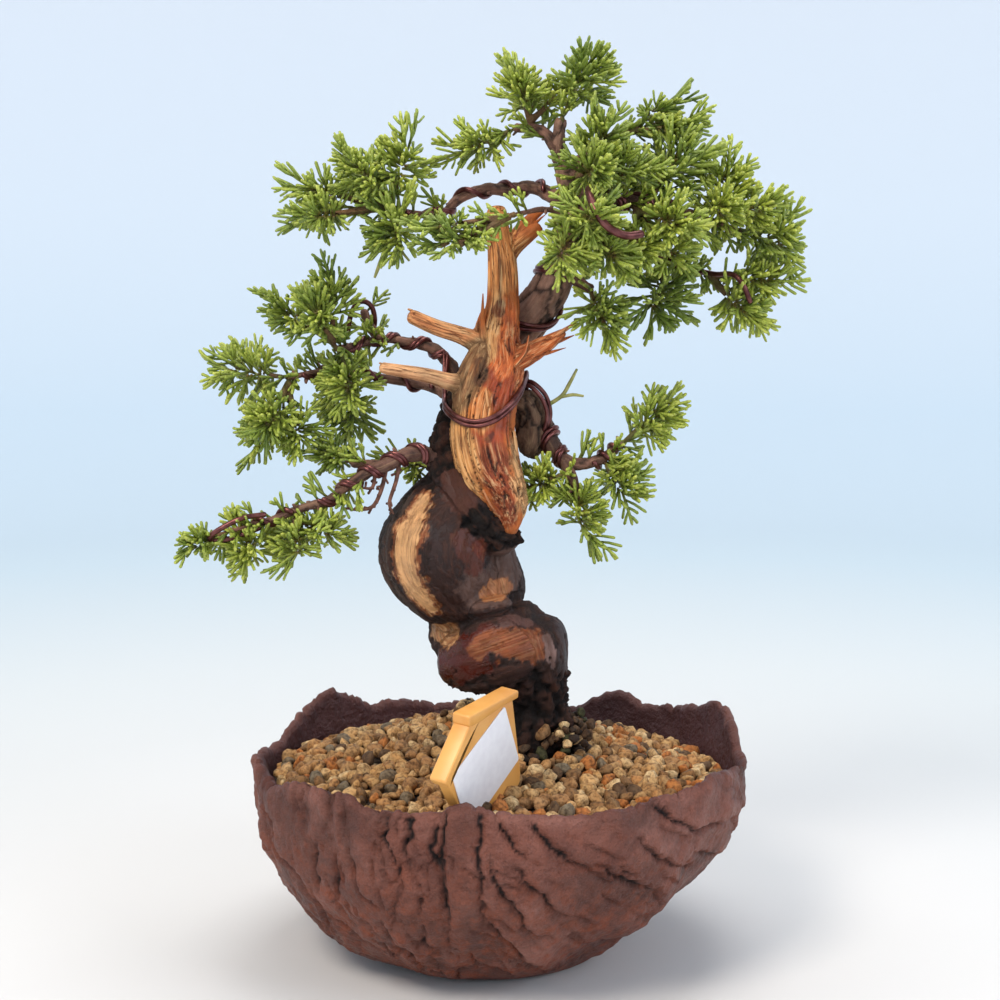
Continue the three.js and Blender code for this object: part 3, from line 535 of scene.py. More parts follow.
def crack_distance(flat, crack):
    """Distance to a crack on the unrolled wall, the side of it, and how open the crack is there."""
    line = np.array(crack, float) * (MM_PER_DEGREE, SLOPE)
    best = np.full(len(flat), 1e9)
    side = np.zeros(len(flat))
    along = np.zeros(len(flat))
    for index, (a, b) in enumerate(zip(line, line[1:])):
        ahead = b - a
        t = np.clip((flat - a) @ ahead / (ahead @ ahead), 0, 1)
        away = flat - (a + t[:, None] * ahead)
        gap = np.hypot(away[:, 0], away[:, 1])
        nearer = gap < best
        best[nearer] = gap[nearer]
        side[nearer] = np.sign(ahead[0] * away[nearer, 1] - ahead[1] * away[nearer, 0])
        along[nearer] = (index + t[nearer]) / (len(line) - 1)
    starts_at_rim = crack[0][1] >= 70
    open_share = 1 - along ** 4 if starts_at_rim else (4 * along * (1 - along)) ** 0.4
    return best, side, open_share


print(len(CRACKS), "cracks")

# %% [markdown]
# The points are moved in two goes. First the round blank becomes the leaning, torn-rimmed bowl. Then the
# surface is pushed in along each crack and lifted where a slab lies over the next. The skin between has
# wrinkles that follow the way the clay was pulled: upright on the left, and down to the right elsewhere.

# %% Bowl: shape by hand
CLAY_FLOW = np.array([
    (0, 0), (60, -20), (120, -50), (180, -81), (266, -81), (268, -78), (280, -50), (300, -26),
    (330, -8), (360, 0),
], float)
THINNER_RIM = 2.2
points = points_of(bowl_mesh)
outside_share = np.empty(len(points), np.float32)
bowl_mesh.attributes["outside"].data.foreach_get("value", outside_share)
azimuth = np.degrees(np.arctan2(points[:, 1], points[:, 0])) % 360
radius, drawn = np.hypot(points[:, 0], points[:, 1]), points[:, 2].copy()
inset = np.where(outside_share > 0.5, np.interp(drawn, OUTER[:, 1], OUTER[:, 2]),
                 np.interp(drawn, INNER[:, 1], INNER[:, 2]))
turn = np.radians(azimuth)
ring = np.column_stack([np.cos(turn), np.sin(turn), 0 * turn]) * 90
near_rim = soft_step(drawn, 60, 73)
tear = rumple(ring, 8, 4, 3) - 0.8 * np.exp(-(rumple(ring, 6, 2, 22) / 0.07) ** 2)
stretch = rim_stretch(azimuth)
z = np.minimum(drawn, RIM_STRETCHES_ABOVE) + np.maximum(0, drawn - RIM_STRETCHES_ABOVE) * stretch
z += near_rim * 1.5 * tear
flare = near_rim * 1.6 * rumple(ring, 16, 2, 23)
reach = radius + flare - inset * np.cos(turn) * np.minimum(1, radius / 38)
reach += THINNER_RIM * near_rim * (1 - outside_share)
points = np.column_stack([reach * np.cos(turn), reach * np.sin(turn), z])
bowl_mesh.vertices.foreach_set("co", points.ravel())
bowl_mesh.update()

free = soft_step(drawn, 0.6, 8) * outside_share
ragged = np.column_stack([rumple(points, 5, 4, 5), rumple(points, 5, 4, 6)]) * 1.5
flat = np.column_stack([azimuth * MM_PER_DEGREE, drawn * SLOPE]) + ragged
groove = np.zeros(len(points))
lift = np.zeros(len(points))
width = 0.8 + 0.5 * np.maximum(rumple(points, 9, 2, 8), -0.7)
slabs = soft_step(azimuth, SLABS_FROM, SLABS_FROM + 6)
for crack in CRACKS:
    gap, side, open_share = crack_distance(flat, crack)
    if crack in short_cracks:
        open_share *= SHORT_CRACK_DEPTH
    narrow = 0.5 + 0.6 * open_share * width
    groove = np.maximum(groove, open_share * np.exp(-(gap / narrow) ** 2))
    over = np.exp(-gap / 8) * (1 - np.exp(-gap / 0.7)) * open_share
    lift += np.where(side > 0, (0.7 + 1.1 * slabs) * over, -0.5 * slabs * over)
strap = soft_step(azimuth, 257.5, 259.5) * (1 - soft_step(azimuth, 265, 267)) * soft_step(drawn, 14, 30)

flow_height = drawn + np.interp(azimuth, CLAY_FLOW[:, 0], CLAY_FLOW[:, 1])
pulled = np.column_stack([points[:, 0] * 0.13, points[:, 1] * 0.13, flow_height])
pulled += 0.8 * ragged[:, [0, 1, 0]]
upright = points * (1, 1, 0.17) + 0.5 * ragged[:, [0, 1, 0]]
left_share = soft_step(azimuth, 176, 196) * (1 - soft_step(azimuth, 258, 266))
wrinkle = rumple(upright, 4.4, 4, 9) * left_share + rumple(pulled, 4.4, 4, 24) * (1 - left_share)
torn = np.abs(rumple(upright, 9, 3, 33)) * left_share
torn += np.abs(rumple(pulled, 9, 3, 34)) * (1 - left_share)
rough_skin = soft_step(rumple(points, 22, 2, 25), -0.35, 0.35)
rough_skin *= 0.45 + 0.55 * left_share
rough_skin *= 1 - 0.85 * strap
crease = np.exp(-(torn / 0.045) ** 2) * rough_skin
folds = 0.9 * np.sin(9 * turn + 0.05 * drawn * (1 + np.cos(turn)))
lumps = 1.2 * rumple(points, 26, 2, 1) + 0.4 * rumple(points, 8, 3, 2)
skin = (0.2 + 0.5 * rough_skin) * wrinkle + 2.2 * rough_skin * torn + 0.3 * rumple(points, 2.6, 3, 26)
push(bowl_mesh, free * (folds + lumps + skin - 1.3 * crease + np.clip(lift, -0.8, 2.0) + 1.4 * strap
                        - 2.3 * groove))
inner_skin = 0.8 * rumple(points, 15, 3, 4) + 0.3 * rumple(points * (1, 1, 0.3), 5, 2, 27)
upper_inside = (1 - outside_share) * soft_step(drawn, 40, 60)
push(bowl_mesh, upper_inside * inner_skin + near_rim * 0.5 * rumple(points, 5, 3, 7))
# This share is painted near black in the finish: painted shade in the cracks and wrinkle creases.
keep(bowl_mesh, "crack", np.clip(groove + 0.55 * crease, 0, 1) * free)
# The relief also paints light and shade into the clay: raised parts lighter, hollows darker.
keep(bowl_mesh, "relief", np.clip(0.5 + 0.4 * skin + 0.25 * lift + 0.2 * lumps, 0, 1))
keep(bowl_mesh, "inner", 1 - outside_share)
print("deepest crack share", round(float(groove.max()), 2))

# %% [markdown]
# Unglazed stoneware: iron-rich clay, pressed by hand and fired without glaze. To the eye it has a soft
# sheen where fingers smoothed it and none in the hollows. Raised slabs are painted lighter and the hollows
# darker, as painted light and shade. Rust breaks through low on the wall, the cracks and creases are
# painted dark as painted shade, and the inside is maroon.

# %% Bowl: finish
stoneware, tree, shader, place = new_finish("unglazed iron stoneware, hand pressed")
cloud = add(tree, "TexNoise", {"Vector": place, "Scale": per_mm(26), "Detail": 7.0, "Roughness": 0.62})
body = add(tree, "ValToRGB", {"Fac": cloud},
           stops=[(0.32, "#4E2920"), (0.7, "#835549"), (0.5, "#6A3E32")])
# Painted light and shade: the colour is lightened on raised clay and darkened in the hollows, by the stored
# relief.
relief = add(tree, "Attribute", attribute_name="relief")
height = add(tree, "MapRange", {"Value": relief.outputs["Fac"], "From Min": 0.15, "From Max": 0.85,
                                "To Min": 0.5, "To Max": 1.25})
grit = add(tree, "TexNoise", {"Vector": place, "Scale": per_mm(0.9), "Detail": 4.0, "Roughness": 0.7})
speck = add(tree, "ValToRGB", {"Fac": grit}, stops=[(0.34, "#C4B8B2"), (0.48, "#FFFFFF")])
level = add(tree, "SeparateXYZ", {"Vector": place})
low = add(tree, "MapRange", {"Value": level.outputs["Z"], "From Min": 0.085, "From Max": 0.012})
rust_noise = add(tree, "TexNoise", {"Vector": place, "Scale": per_mm(6), "Detail": 9.0, "Roughness": 0.72})
rust_spots = add(tree, "MapRange", {"Value": rust_noise, "From Min": 0.46, "From Max": 0.66})
rust = add(tree, "Math", {0: low, 1: rust_spots}, operation="MULTIPLY")
inner = add(tree, "Attribute", attribute_name="inner")
# Painted shade: the cracks and wrinkle creases are painted near black.
crack = add(tree, "Attribute", attribute_name="crack")
painted_crack_shade = add(tree, "MapRange", {"Value": crack.outputs["Fac"], "From Min": 0.38, "From Max": 0.9})
clay = coated(
    tree, body,
    (1.0, height, "MULTIPLY"),
    (0.7, speck, "MULTIPLY"),
    (rust, linear("#8A4224")),
    (inner.outputs["Fac"], linear("#43201F")),
    (painted_crack_shade, linear("#1C0E0D")),
)
smoothed = add(tree, "TexNoise", {"Vector": place, "Scale": per_mm(9), "Detail": 4.0})
gloss = add(tree, "MapRange", {"Value": smoothed, "From Min": 0.35, "From Max": 0.65,
                               "To Min": 0.38, "To Max": 0.6})
tooth = add(tree, "TexNoise", {"Vector": place, "Scale": per_mm(2.2), "Detail": 6.0, "Roughness": 0.62})
fine = add(tree, "Bump", {"Height": grit, "Strength": 0.35, "Distance": 0.25 * MM})
deep = add(tree, "Bump", {"Height": tooth, "Strength": 1.0, "Distance": 1.7 * MM, "Normal": fine})
plug(tree, shader, {"Base Color": clay, "Roughness": gloss, "Specular IOR Level": 0.36, "Normal": deep})
print("bowl finish:", stoneware.name)

# %% [markdown]
# The two drain holes are cut last, through the shaped clay, with the manifold solver, which is quick on a
# dense mesh. A modifier does it, and its result is kept as the mesh.

# %% Bowl: drain holes
DRAIN_RADIUS = 7
DRAIN_OFFSET = 20


def modified(mesh, kind, **settings):
    """The mesh that one modifier makes of this mesh."""
    host = bpy.data.objects.new("host", mesh)
    bpy.context.scene.collection.objects.link(host)
    modifier = host.modifiers.new(kind, kind)
    for name, value in settings.items():
        setattr(modifier, name, value)
    graph = bpy.context.evaluated_depsgraph_get()
    result = bpy.data.meshes.new_from_object(host.evaluated_get(graph))
    bpy.data.objects.remove(host)
    return result


drills = bmesh.new()
for side in (-1, 1):
    bmesh.ops.create_cone(drills, cap_ends=True, segments=32, radius1=DRAIN_RADIUS, radius2=DRAIN_RADIUS,
                          depth=4 * FLOOR, matrix=Matrix.Translation((side * DRAIN_OFFSET, 0, 0)))
drill = bpy.data.objects.new("drill", to_mesh("drill", drills))
bpy.context.scene.collection.objects.link(drill)
bowl_mesh = modified(bowl_mesh, "BOOLEAN", operation="DIFFERENCE", solver="MANIFOLD", object=drill)
bpy.data.objects.remove(drill)
piece("stoneware_bowl", bowl_mesh, stoneware, ["bowl"])

# %% [markdown]
# The tree stands in a mound of granular soil. Under the loose grains lies a dark, damp body, which only
# shows in the gaps. It is spun like the bowl and fitted to the bowl's inner wall.

# %% Soil: the damp body
MOUND_CREST = 84.5
MOUND_EDGE = 66.5
SOIL_GAP = 0.8
SOIL_SINK = 2.2


def mound_edge(azimuth):
    """The height at which the soil meets the wall."""
    return MOUND_EDGE - 0.5 * np.cos(np.radians(azimuth)) - 3 * np.sin(np.radians(azimuth))


def mound_height(x, y):
    """The height of the mound's top, which falls from the trunk to the wall."""
    azimuth = np.degrees(np.arctan2(y, x)) % 360
    edge = mound_edge(azimuth)
    crest = MOUND_CREST - 3 * np.cos(np.radians(azimuth)) + 4.5 * np.sin(np.radians(azimuth))
    share = np.hypot(x, y) / wall_radius(INNER, azimuth, edge)
    return crest + (edge - crest) * share


soil_blank = bmesh.new()
rows = [(0, -1)] + [(1, z) for z in (FLOOR + 0.6, 15, 26, 38, 50, 60)]
rows += [(share, 99) for share in np.linspace(1, 0, 24)]
turned(soil_blank, [soil_blank.verts.new((share, 0, z)) for share, z in rows], 120, 1e-4)
for vert in soil_blank.verts:
    share, azimuth = vert.co.xy.length, math.degrees(math.atan2(vert.co.y, vert.co.x)) % 360
    is_top = vert.co.z > 90
    z = mound_edge(azimuth) if is_top else max(FLOOR + 0.6, vert.co.z)
    reach = (wall_radius(INNER, azimuth, z) - SOIL_GAP) * share
    x, y = reach * math.cos(math.radians(azimuth)), reach * math.sin(math.radians(azimuth))
    bump = 0.8 * noise.fractal(Vector((x, y, 0)) / 5, 1.0, 2.0, 3)
    vert.co = (x, y, mound_height(x, y) - SOIL_SINK + bump if is_top else z)
bmesh.ops.recalc_face_normals(soil_blank, faces=soil_blank.faces)

# Packed fines, wet: almost black where they are deepest, with a broken surface that never shines.
damp_soil = mottled("damp bonsai soil, packed fines", 1.5, 5.0, [(0.35, "#1D140E"), (0.7, "#4A3626")], 0.9,
                    relief=(0.8, 0.8), harsh=0.7)
piece("soil_body", to_mesh("soil_body", soil_blank), damp_soil, ["soil"])

# %% [markdown]
# Grains, shoots and moss are shapes repeated hundreds of times. Each kind gets a few templates with few
# faces, and one helper makes a single mesh of all the copies. Every copy carries its own `shade`, a number
# from 0 to 1 that the material turns into a colour, and every point keeps the template's `tone`.

# %% Copies of a template
def template(*parts):
    """The arrays that describe a small mesh: places, corners, corners for each face, and tone."""
    mesh = to_mesh("template", *parts)
    corners = np.empty(len(mesh.loops), int)
    mesh.loops.foreach_get("vertex_index", corners)
    sizes = np.empty(len(mesh.polygons), int)
    mesh.polygons.foreach_get("loop_total", sizes)
    tone = np.zeros(len(mesh.vertices), np.float32)
    if "tone" in mesh.attributes:
        mesh.attributes["tone"].data.foreach_get("value", tone)
    return points_of(mesh), corners, sizes, tone


def stamped(name, templates, copies):
    """One mesh of many copies, each given as a template's index, a matrix and a shade."""
    places, corners, sizes, tones, shades, count = [], [], [], [], [], 0
    for index, matrix, shade in copies:
        shape, corner, size, tone = templates[index]
        matrix = np.array(matrix)
        places.append(shape @ matrix[:3, :3].T + matrix[:3, 3])
        corners.append(corner + count)
        sizes.append(size)
        tones.append(tone)
        shades.append(np.full(len(shape), shade))
        count += len(shape)
    places, corners, sizes = np.vstack(places), np.concatenate(corners), np.concatenate(sizes)
    mesh = bpy.data.meshes.new(name)
    mesh.vertices.add(len(places))
    mesh.vertices.foreach_set("co", places.ravel())
    mesh.loops.add(len(corners))
    mesh.loops.foreach_set("vertex_index", corners)
    mesh.polygons.add(len(sizes))
    mesh.polygons.foreach_set("loop_start", np.concatenate([[0], np.cumsum(sizes)[:-1]]))
    mesh.update(calc_edges=True)
    keep(mesh, "tone", np.concatenate(tones))
    keep(mesh, "shade", np.concatenate(shades))
    return mesh


def turned_copy(place, size, random):
    """A matrix that scales a copy by its three sizes and turns it any way."""
    quaternion = random.normal(size=4)
    quaternion /= np.linalg.norm(quaternion)
    return Matrix.LocRotScale(Vector(place), Quaternion(quaternion), Vector(size))


# %% [markdown]
# Bonsai grit is baked clay and pumice, sieved to between three and seven millimetres. A grain is a ball
# whose sides are cut flat by a few random planes, which leaves it angular with soft edges. The grains are
# thrown like darts: one that would overlap its neighbours is thrown away, and smaller ones fill the gaps
# below. Darker and mossy grains gather in damp clumps at the foot of the trunk.

# %% Soil: loose grains
GRAIN_SHAPES = 10
GRAIN_CUTS = 11
TRUNK_FOOT = (11, 0)
TRUNK_CLEARANCE = 15
DAMP_CLUMPS = [(-9, 8, 89, 4.5), (1, 13, 91, 4), (27, -4, 86.5, 4), (24, -11, 84, 3.5)]
CLUMP_GRAINS = 34
BIG_GRAIN = ((15.8, -14.6, 84.6), (3.6, 3.0, 3.2))
BANK_HEIGHT = 1.5
BANK_WIDTH = 5
DAMP_REACH = (13, 27)
random = np.random.default_rng(7)
grain_shapes = []
for shape in range(GRAIN_SHAPES):
    pebble = bmesh.new()
    bmesh.ops.create_icosphere(pebble, subdivisions=2, radius=1)
    ways = random.normal(size=(GRAIN_CUTS, 3))
    cuts = [(Vector(way).normalized(), random.uniform(0.5, 0.82)) for way in ways]
    for vert in pebble.verts:
        for way, depth in cuts:
            over = vert.co.dot(way) - depth
            if over > 0:
                vert.co -= way * over
        vert.co *= 1.12 + 0.08 * noise.noise(vert.co * 2.3 + Vector((9.1 * shape, 0, 0)))
    grain_shapes.append(template(pebble))

spots = np.empty((0, 3))
grains = []
for low, high, tries, closeness, sink in ((2.5, 3.8, 9000, 0.7, 0.2), (1.6, 2.5, 12000, 0.66, 1.4)):
    for _ in range(tries):
        turn, share = random.uniform(0, 360), math.sqrt(random.uniform(0.02, 1))
        radius = random.uniform(low, high)
        wall = wall_radius(INNER, turn, mound_edge(turn)) - radius - 0.2
        x, y = wall * share * math.cos(math.radians(turn)), wall * share * math.sin(math.radians(turn))
        from_trunk = math.hypot(x - TRUNK_FOOT[0], y - TRUNK_FOOT[1])
        if from_trunk < TRUNK_CLEARANCE:
            continue
        gap = np.hypot(spots[:, 0] - x, spots[:, 1] - y)
        if (gap < closeness * (spots[:, 2] + radius)).any():
            continue
        spots = np.vstack([spots, (x, y, radius)])
        size = radius * random.uniform((0.85, 0.85, 0.72), (1.25, 1.1, 0.98))
        bank = BANK_HEIGHT * max(0, 1 - (from_trunk - TRUNK_CLEARANCE) / BANK_WIDTH)
        z = mound_height(x, y) - sink + random.uniform(-0.6, 1.0) + bank
        damp = from_trunk < random.uniform(*DAMP_REACH)
        shade = random.uniform(0.86, 1) if damp else random.uniform(0, 0.86)
        grains.append((int(random.integers(GRAIN_SHAPES)), turned_copy((x, y, z), size, random), shade))
for x, y, z, spread in DAMP_CLUMPS:
    for _ in range(CLUMP_GRAINS):
        drop = random.normal(size=3) * (spread, spread, 0.35 * spread)
        size = random.uniform(1.2, 2.5) * random.uniform((0.85, 0.85, 0.75), (1.2, 1.1, 1))
        place = (x + drop[0], y + drop[1], z + drop[2] - 0.2 * math.hypot(drop[0], drop[1]))
        shape = int(random.integers(GRAIN_SHAPES))
        grains.append((shape, turned_copy(place, size, random), random.uniform(0.78, 1)))
grains.append((0, turned_copy(*BIG_GRAIN, random), 0.3))
print(len(grains), "grains")

# Baked clay and pumice grit: dry and chalky, every grain its own tan, broken up by dust and pits.
grit_finish, tree, shader, place = new_finish("sieved clay and pumice grit")
shade = add(tree, "Attribute", attribute_name="shade")
palette = add(tree, "ValToRGB", {"Fac": shade.outputs["Fac"]}, stops=[
    (0.0, "#AE8A5E"), (0.965, "#43452A"), (0.13, "#BC9868"), (0.27, "#8A6A47"), (0.36, "#CDAB7C"),
    (0.46, "#A5825C"), (0.55, "#B4763F"), (0.62, "#7A6F5E"), (0.68, "#B98D5D"), (0.74, "#D6BC92"),
    (0.81, "#644D37"), (0.86, "#33251B"), (0.91, "#54402E"),
])
palette.color_ramp.interpolation = "CONSTANT"
mottle = add(tree, "TexNoise", {"Vector": place, "Scale": per_mm(1.5), "Detail": 5.0, "Roughness": 0.68})
spot = add(tree, "ValToRGB", {"Fac": mottle}, stops=[(0.36, "#6E5C48"), (0.56, "#FFFFFF")])
dust = add(tree, "TexNoise", {"Vector": place, "Scale": per_mm(3.5), "Detail": 4.0})
warm = add(tree, "ValToRGB", {"Fac": dust}, stops=[(0.38, "#FFEBD2"), (0.62, "#FFFAF2")])
dusty = coated(tree, palette, (0.85, spot, "MULTIPLY"), (1.0, warm, "MULTIPLY"))
pits = add(tree, "Bump", {"Height": mottle, "Strength": 0.9, "Distance": 0.6 * MM})
plug(tree, shader, {"Base Color": dusty, "Roughness": 0.8, "Specular IOR Level": 0.35, "Normal": pits})
piece("loose_grains", stamped("loose_grains", grain_shapes, grains), grit_finish)

# %% [markdown]
# The trunk coils up from the soil as a chain of lumps. Each lump is a limb, and the overlapping limbs are
# melted into one skin by a voxel remesh, which leaves the deep creases where one coil presses on the next.
# A few thin limbs more than the CAD model has stand for the lip and ridges of live bark round the deadwood,
# for a sawn stub at the back and for the first roots.

# %% Trunk: stations
ROOT_FLARE = [
    [11, 0, 60, 17.5], [11, 0, 66, 17.5], [11, 0, 74, 15.5], [12, 0, 85, 13], [13.5, 0, 94, 12],
    [12, -2, 106, 14], [10, -4, 115, 15.5], [8, -5, 122, 14], [7, -5, 127, 9],
]
LOWER_COIL = [
    [9, -4, 117, 15], [1, -8, 115, 15.5], [-7, -7, 112, 14.5], [-13, -6, 110, 12], [-17.5, -5, 109, 9.5],
]
COIL_KNEE = [[-8, -2, 112, 11], [-16.5, 2, 119, 10.6], [-11, 6, 126, 11]]
UPPER_LUMP = [
    [-10, 2, 129, 13], [-17.5, 0, 139, 19], [-22.5, 0, 151, 22.5], [-18.5, 2, 162, 19.5],
    [-11, 3, 169, 16.5],
]
LUMP_RIGHT = [[-11, 3, 128, 13], [-3, 3, 135, 12.2], [-5, 3, 145, 12], [-10, 2, 154, 14]]
NECK = [
    [-16, 2, 162, 17], [-11, 3, 170, 16], [-10, 4, 180, 13.5], [-10, 8, 191, 12.5], [-11, 12, 200, 11],
]
LIVE_VEIN = [
    [-11, 12, 195, 11.5], [-10, 17, 204, 10.5], [-6, 20, 215, 9.6], [2, 19, 226, 9], [11, 13, 237, 8.4],
    [18, 8, 247, 7.6], [23, 4, 258, 6.6], [26, 0, 267, 5.6], [27, -2, 278, 4.6], [24, 0, 289, 3.8],
    [21, 2, 298, 3], [22, 0, 308, 2.4],
]
BARK_LIP = [
    [-20, -1, 184, 7], [-16, -6, 176, 8], [-12, -8.5, 169, 8.5], [-7, -9, 163, 8.5], [-1, -8, 158, 8],
    [4, -6, 158, 6],
]
BARK_RIDGE = [[-19, -1, 172, 8], [-20, 0, 183, 7], [-19, 2, 194, 6], [-16.5, 4, 204, 5], [-14, 6, 211, 4]]
COIL_RIDGE = [[-15, -9, 131, 5], [-6, -13, 131.5, 4.5], [2, -12, 133, 4]]
RIGHT_STUB = [[2, 15, 204, 6.5], [9, 13, 204, 7], [12, 12, 198, 6.8], [12, 11, 191, 6], [11, 11, 187, 4.5]]
ROOTS = [
    [[10, -1, 98, 9], [3, -2, 92, 8], [-3, -1, 86, 6], [-8, 0, 80, 4]],
    [[14, 0, 98, 9], [20, -3, 91, 6.5], [24, -6, 84, 4.5], [27, -7, 78, 3]],
]
TRUNK_LIMBS = [
    ROOT_FLARE, LOWER_COIL, COIL_KNEE, UPPER_LUMP, LUMP_RIGHT, NECK, LIVE_VEIN, BARK_LIP, BARK_RIDGE,
    COIL_RIDGE, RIGHT_STUB, *ROOTS,
]
TRUNK_VOXEL = 0.82


def melted(name, limbs, voxel, smoothing):
    """One closed skin round overlapping limbs."""
    joined = to_mesh(name, *[limb(stations, 32, 1.5) for stations in limbs])
    skin = bmesh.new()
    skin.from_mesh(modified(joined, "REMESH", mode="VOXEL", voxel_size=voxel))
    all_axes = {"use_axis_x": True, "use_axis_y": True, "use_axis_z": True}
    for _ in range(smoothing):
        bmesh.ops.smooth_vert(skin, verts=skin.verts, factor=0.5, **all_axes)
    return to_mesh(name, skin)


trunk_mesh = melted("trunk", TRUNK_LIMBS, TRUNK_VOXEL, 3)
print("trunk skin:", len(trunk_mesh.vertices), "points")

# %% [markdown]
# Bark comes off this juniper in places. Where it is gone the wood is cream or amber and satin, and where it
# stays it is dark, cracked into plates and furrowed. The patches are strokes of a brush: stations like a
# limb's, how much wider to paint them, and then a colour, a depth in millimetres, a roughness and a share
# of grain. Their edges are torn, and a later stroke covers an earlier one.

# %% Trunk: bark and bare patches
CRESCENT = [
    [-28, -11, 172.5, 2.6], [-30.5, -14, 167, 4.2], [-33, -16, 160, 5.2], [-34.5, -17.5, 153, 5.6],
    [-33.8, -18, 146, 5.4], [-31, -17.7, 138, 4.6], [-26, -16, 130, 3],
]
TRUNK_STROKES = [
    (LIVE_VEIN[3:], 2.0, "#96715F", 0.0, 0.75, 0.35),
    (RIGHT_STUB, 1.5, "#7A5C48", 0.0, 0.8, 0.5),
    (BARK_RIDGE, 1.6, "#2A1611", 0.0, 0.95, 0.3),
    ([[-16, -14, 168, 12], [-12, -20, 153, 16], [-14, -18, 138, 12]], 1, "#260F09", 0.0, 0.4, 0.08),
    ([[-9, -17, 165, 6], [-1, -16, 159, 7.5], [6, -12, 158, 7]], 1, "#140A08", 0.0, 0.98, 0.3),
    ([[-36, -6, 168, 6], [-44, -6, 157, 7], [-44, -7, 147, 7], [-40, -7, 138, 6], [-33, -8, 129, 5]], 1,
     "#46352C", 0.0, 0.7, 0.3),
    (CRESCENT, 1.4, "#84461F", 0.5, 0.36, 0.8),
    (CRESCENT, 1, "#D6A06C", 0.9, 0.38, 0.5),
    ([[-8, -17.6, 139, 7], [-1, -13, 142, 8], [4, -7, 145, 9], [1, -9, 151, 5]], 1,
     "#5A4138", 0.0, 0.55, 0.15),
    ([[-13, -20, 157, 5], [-8, -19, 151, 6], [-4, -16, 147, 4]], 1, "#4A1E10", 0.0, 0.34, 0.1),
    ([[-18, -13, 179, 4.5], [-13.5, -15.5, 171, 5]], 1, "#4A2417", 0.0, 0.5, 0.15),
    ([[-4.6, -15, 137, 2.6], [-0.7, -11.5, 138, 4.2], [3.4, -8, 138.5, 2.6]], 1, "#A96C43", 0.5, 0.42, 0.5),
    ([[-7, -17.5, 155, 2.6], [-5.8, -16.5, 152, 2.2], [-2.6, -13.3, 147.5, 2.6]], 1,
     "#6A2814", 0.2, 0.45, 0.4),
    ([[-20, -13, 108, 9], [-13, -19, 113, 9], [-8, -20.6, 119, 8], [-2, -21, 123, 5]], 1,
     "#4E180C", 0.1, 0.26, 0.12),
    ([[-24, -4, 121, 4.5], [-19, -9, 120, 5]], 1, "#A36E42", 0.5, 0.45, 0.8),
    ([[-9, -21, 118, 4], [-2, -21, 120, 5.4], [4, -22, 119.5, 6.6], [11, -19.5, 118, 6.6]], 1,
     "#84431F", 0.5, 0.36, 0.42),
    ([[1, -17, 127, 2.6], [6, -17, 128.5, 3], [10, -15.5, 127, 2.4]], 1, "#5A3A33", 0.0, 0.5, 0.1),
    ([[17.6, -17, 121, 2.2], [19.3, -16.3, 115.5, 2.9], [20.8, -14.7, 110.5, 2]], 1,
     "#7C5E55", 0.25, 0.45, 0.15),
    ([[25, -8, 120, 7], [26, -8, 107, 8]], 1, "#35201B", 0.0, 0.5, 0.2),
    ([[12, 20, 120, 8], [0, 18, 118, 7]], 1, "#A4592F", 0.6, 0.4, 0.7),
    ([[-24, 20, 160, 5], [-20, 24, 150, 7], [-14, 22, 140, 5]], 1, "#D29A60", 0.9, 0.4, 1.0),
    ([[11, 0, 89, 23], [9, 0, 74, 34]], 1, "#35211A", 0.0, 0.98, 0.25),
]


def painted(points, base, strokes, tear, softness=0.13):
    """Colour, depth, roughness and grain at each point, from a base bark and the strokes laid over it."""
    values = np.tile([*linear(base), 0.0, 0.68, 0.3], (len(points), 1))
    for stations, widen, colour, depth, roughness, grain in strokes:
        away = np.full(len(points), 1e9)
        for row in spline(stations, 1.5):
            away = np.minimum(away, np.linalg.norm(points - row[:3], axis=1) / (row[3] * widen))
        share = 1 - soft_step(away + 0.42 * tear, 0.9, 0.9 + softness)
        values += (np.array([*linear(colour), depth, roughness, grain]) - values) * share[:, None]
    return values[:, :4], values[:, 4], values[:, 5], values[:, 6]


def plate_cracks(places, size):
    """1 on the cracks between plates of about this size, and 0 on the plates."""
    out = np.empty(len(places))
    for index, place in enumerate(places):
        gaps, _ = noise.voronoi(Vector(place) / size)
        out[index] = gaps[1] - gaps[0]
    return np.exp(-(out / 0.11) ** 2)


points = points_of(trunk_mesh)
flow = grain_place(points, TRUNK_LIMBS)
tear = rumple(points, 6, 4, 11) + 0.5 * rumple(points, 2.2, 3, 16)
paint, depth, roughness, grain = painted(points, "#301812", TRUNK_STROKES, tear)
rough_share = soft_step(roughness, 0.4, 0.85)
low = 1 - soft_step(points[:, 2], 92, 110)
swell = rumple(flow * (1, 1, 0.3), 10, 2, 10)
ridges = rumple(flow * (1, 1, 0.14), 2.6, 3, 12)
warped = flow * (1, 1, 0.5) + 1.2 * np.column_stack([tear, ridges, tear])
plates = plate_cracks(warped, 7)
furrows = rumple(points * (1, 1, 0.22), 3.4, 3, 21)
very_rough = soft_step(roughness, 0.88, 0.98)
knobs = rumple(points, 3.2, 3, 30)
push(trunk_mesh, 0.9 * swell + (0.12 + 0.5 * rough_share) * ridges - 0.9 * rough_share * plates
     + 1.5 * low * furrows + 1.9 * very_rough * knobs - depth)
# Painted shade: the dips between knobs, the furrows near the foot and the cracks between plates are stored
# to be painted near black.
pit_shade = very_rough * soft_step(-knobs, 0, 0.5)
cleft_shade_share = np.clip(plates * rough_share + 0.8 * low * soft_step(-furrows, 0, 0.5) + pit_shade, 0, 1)
keep_wood(trunk_mesh, flow, paint, roughness, grain, cleft_shade_share)
print("trunk bark: share of plate cracks", round(float(plates.mean()), 2))
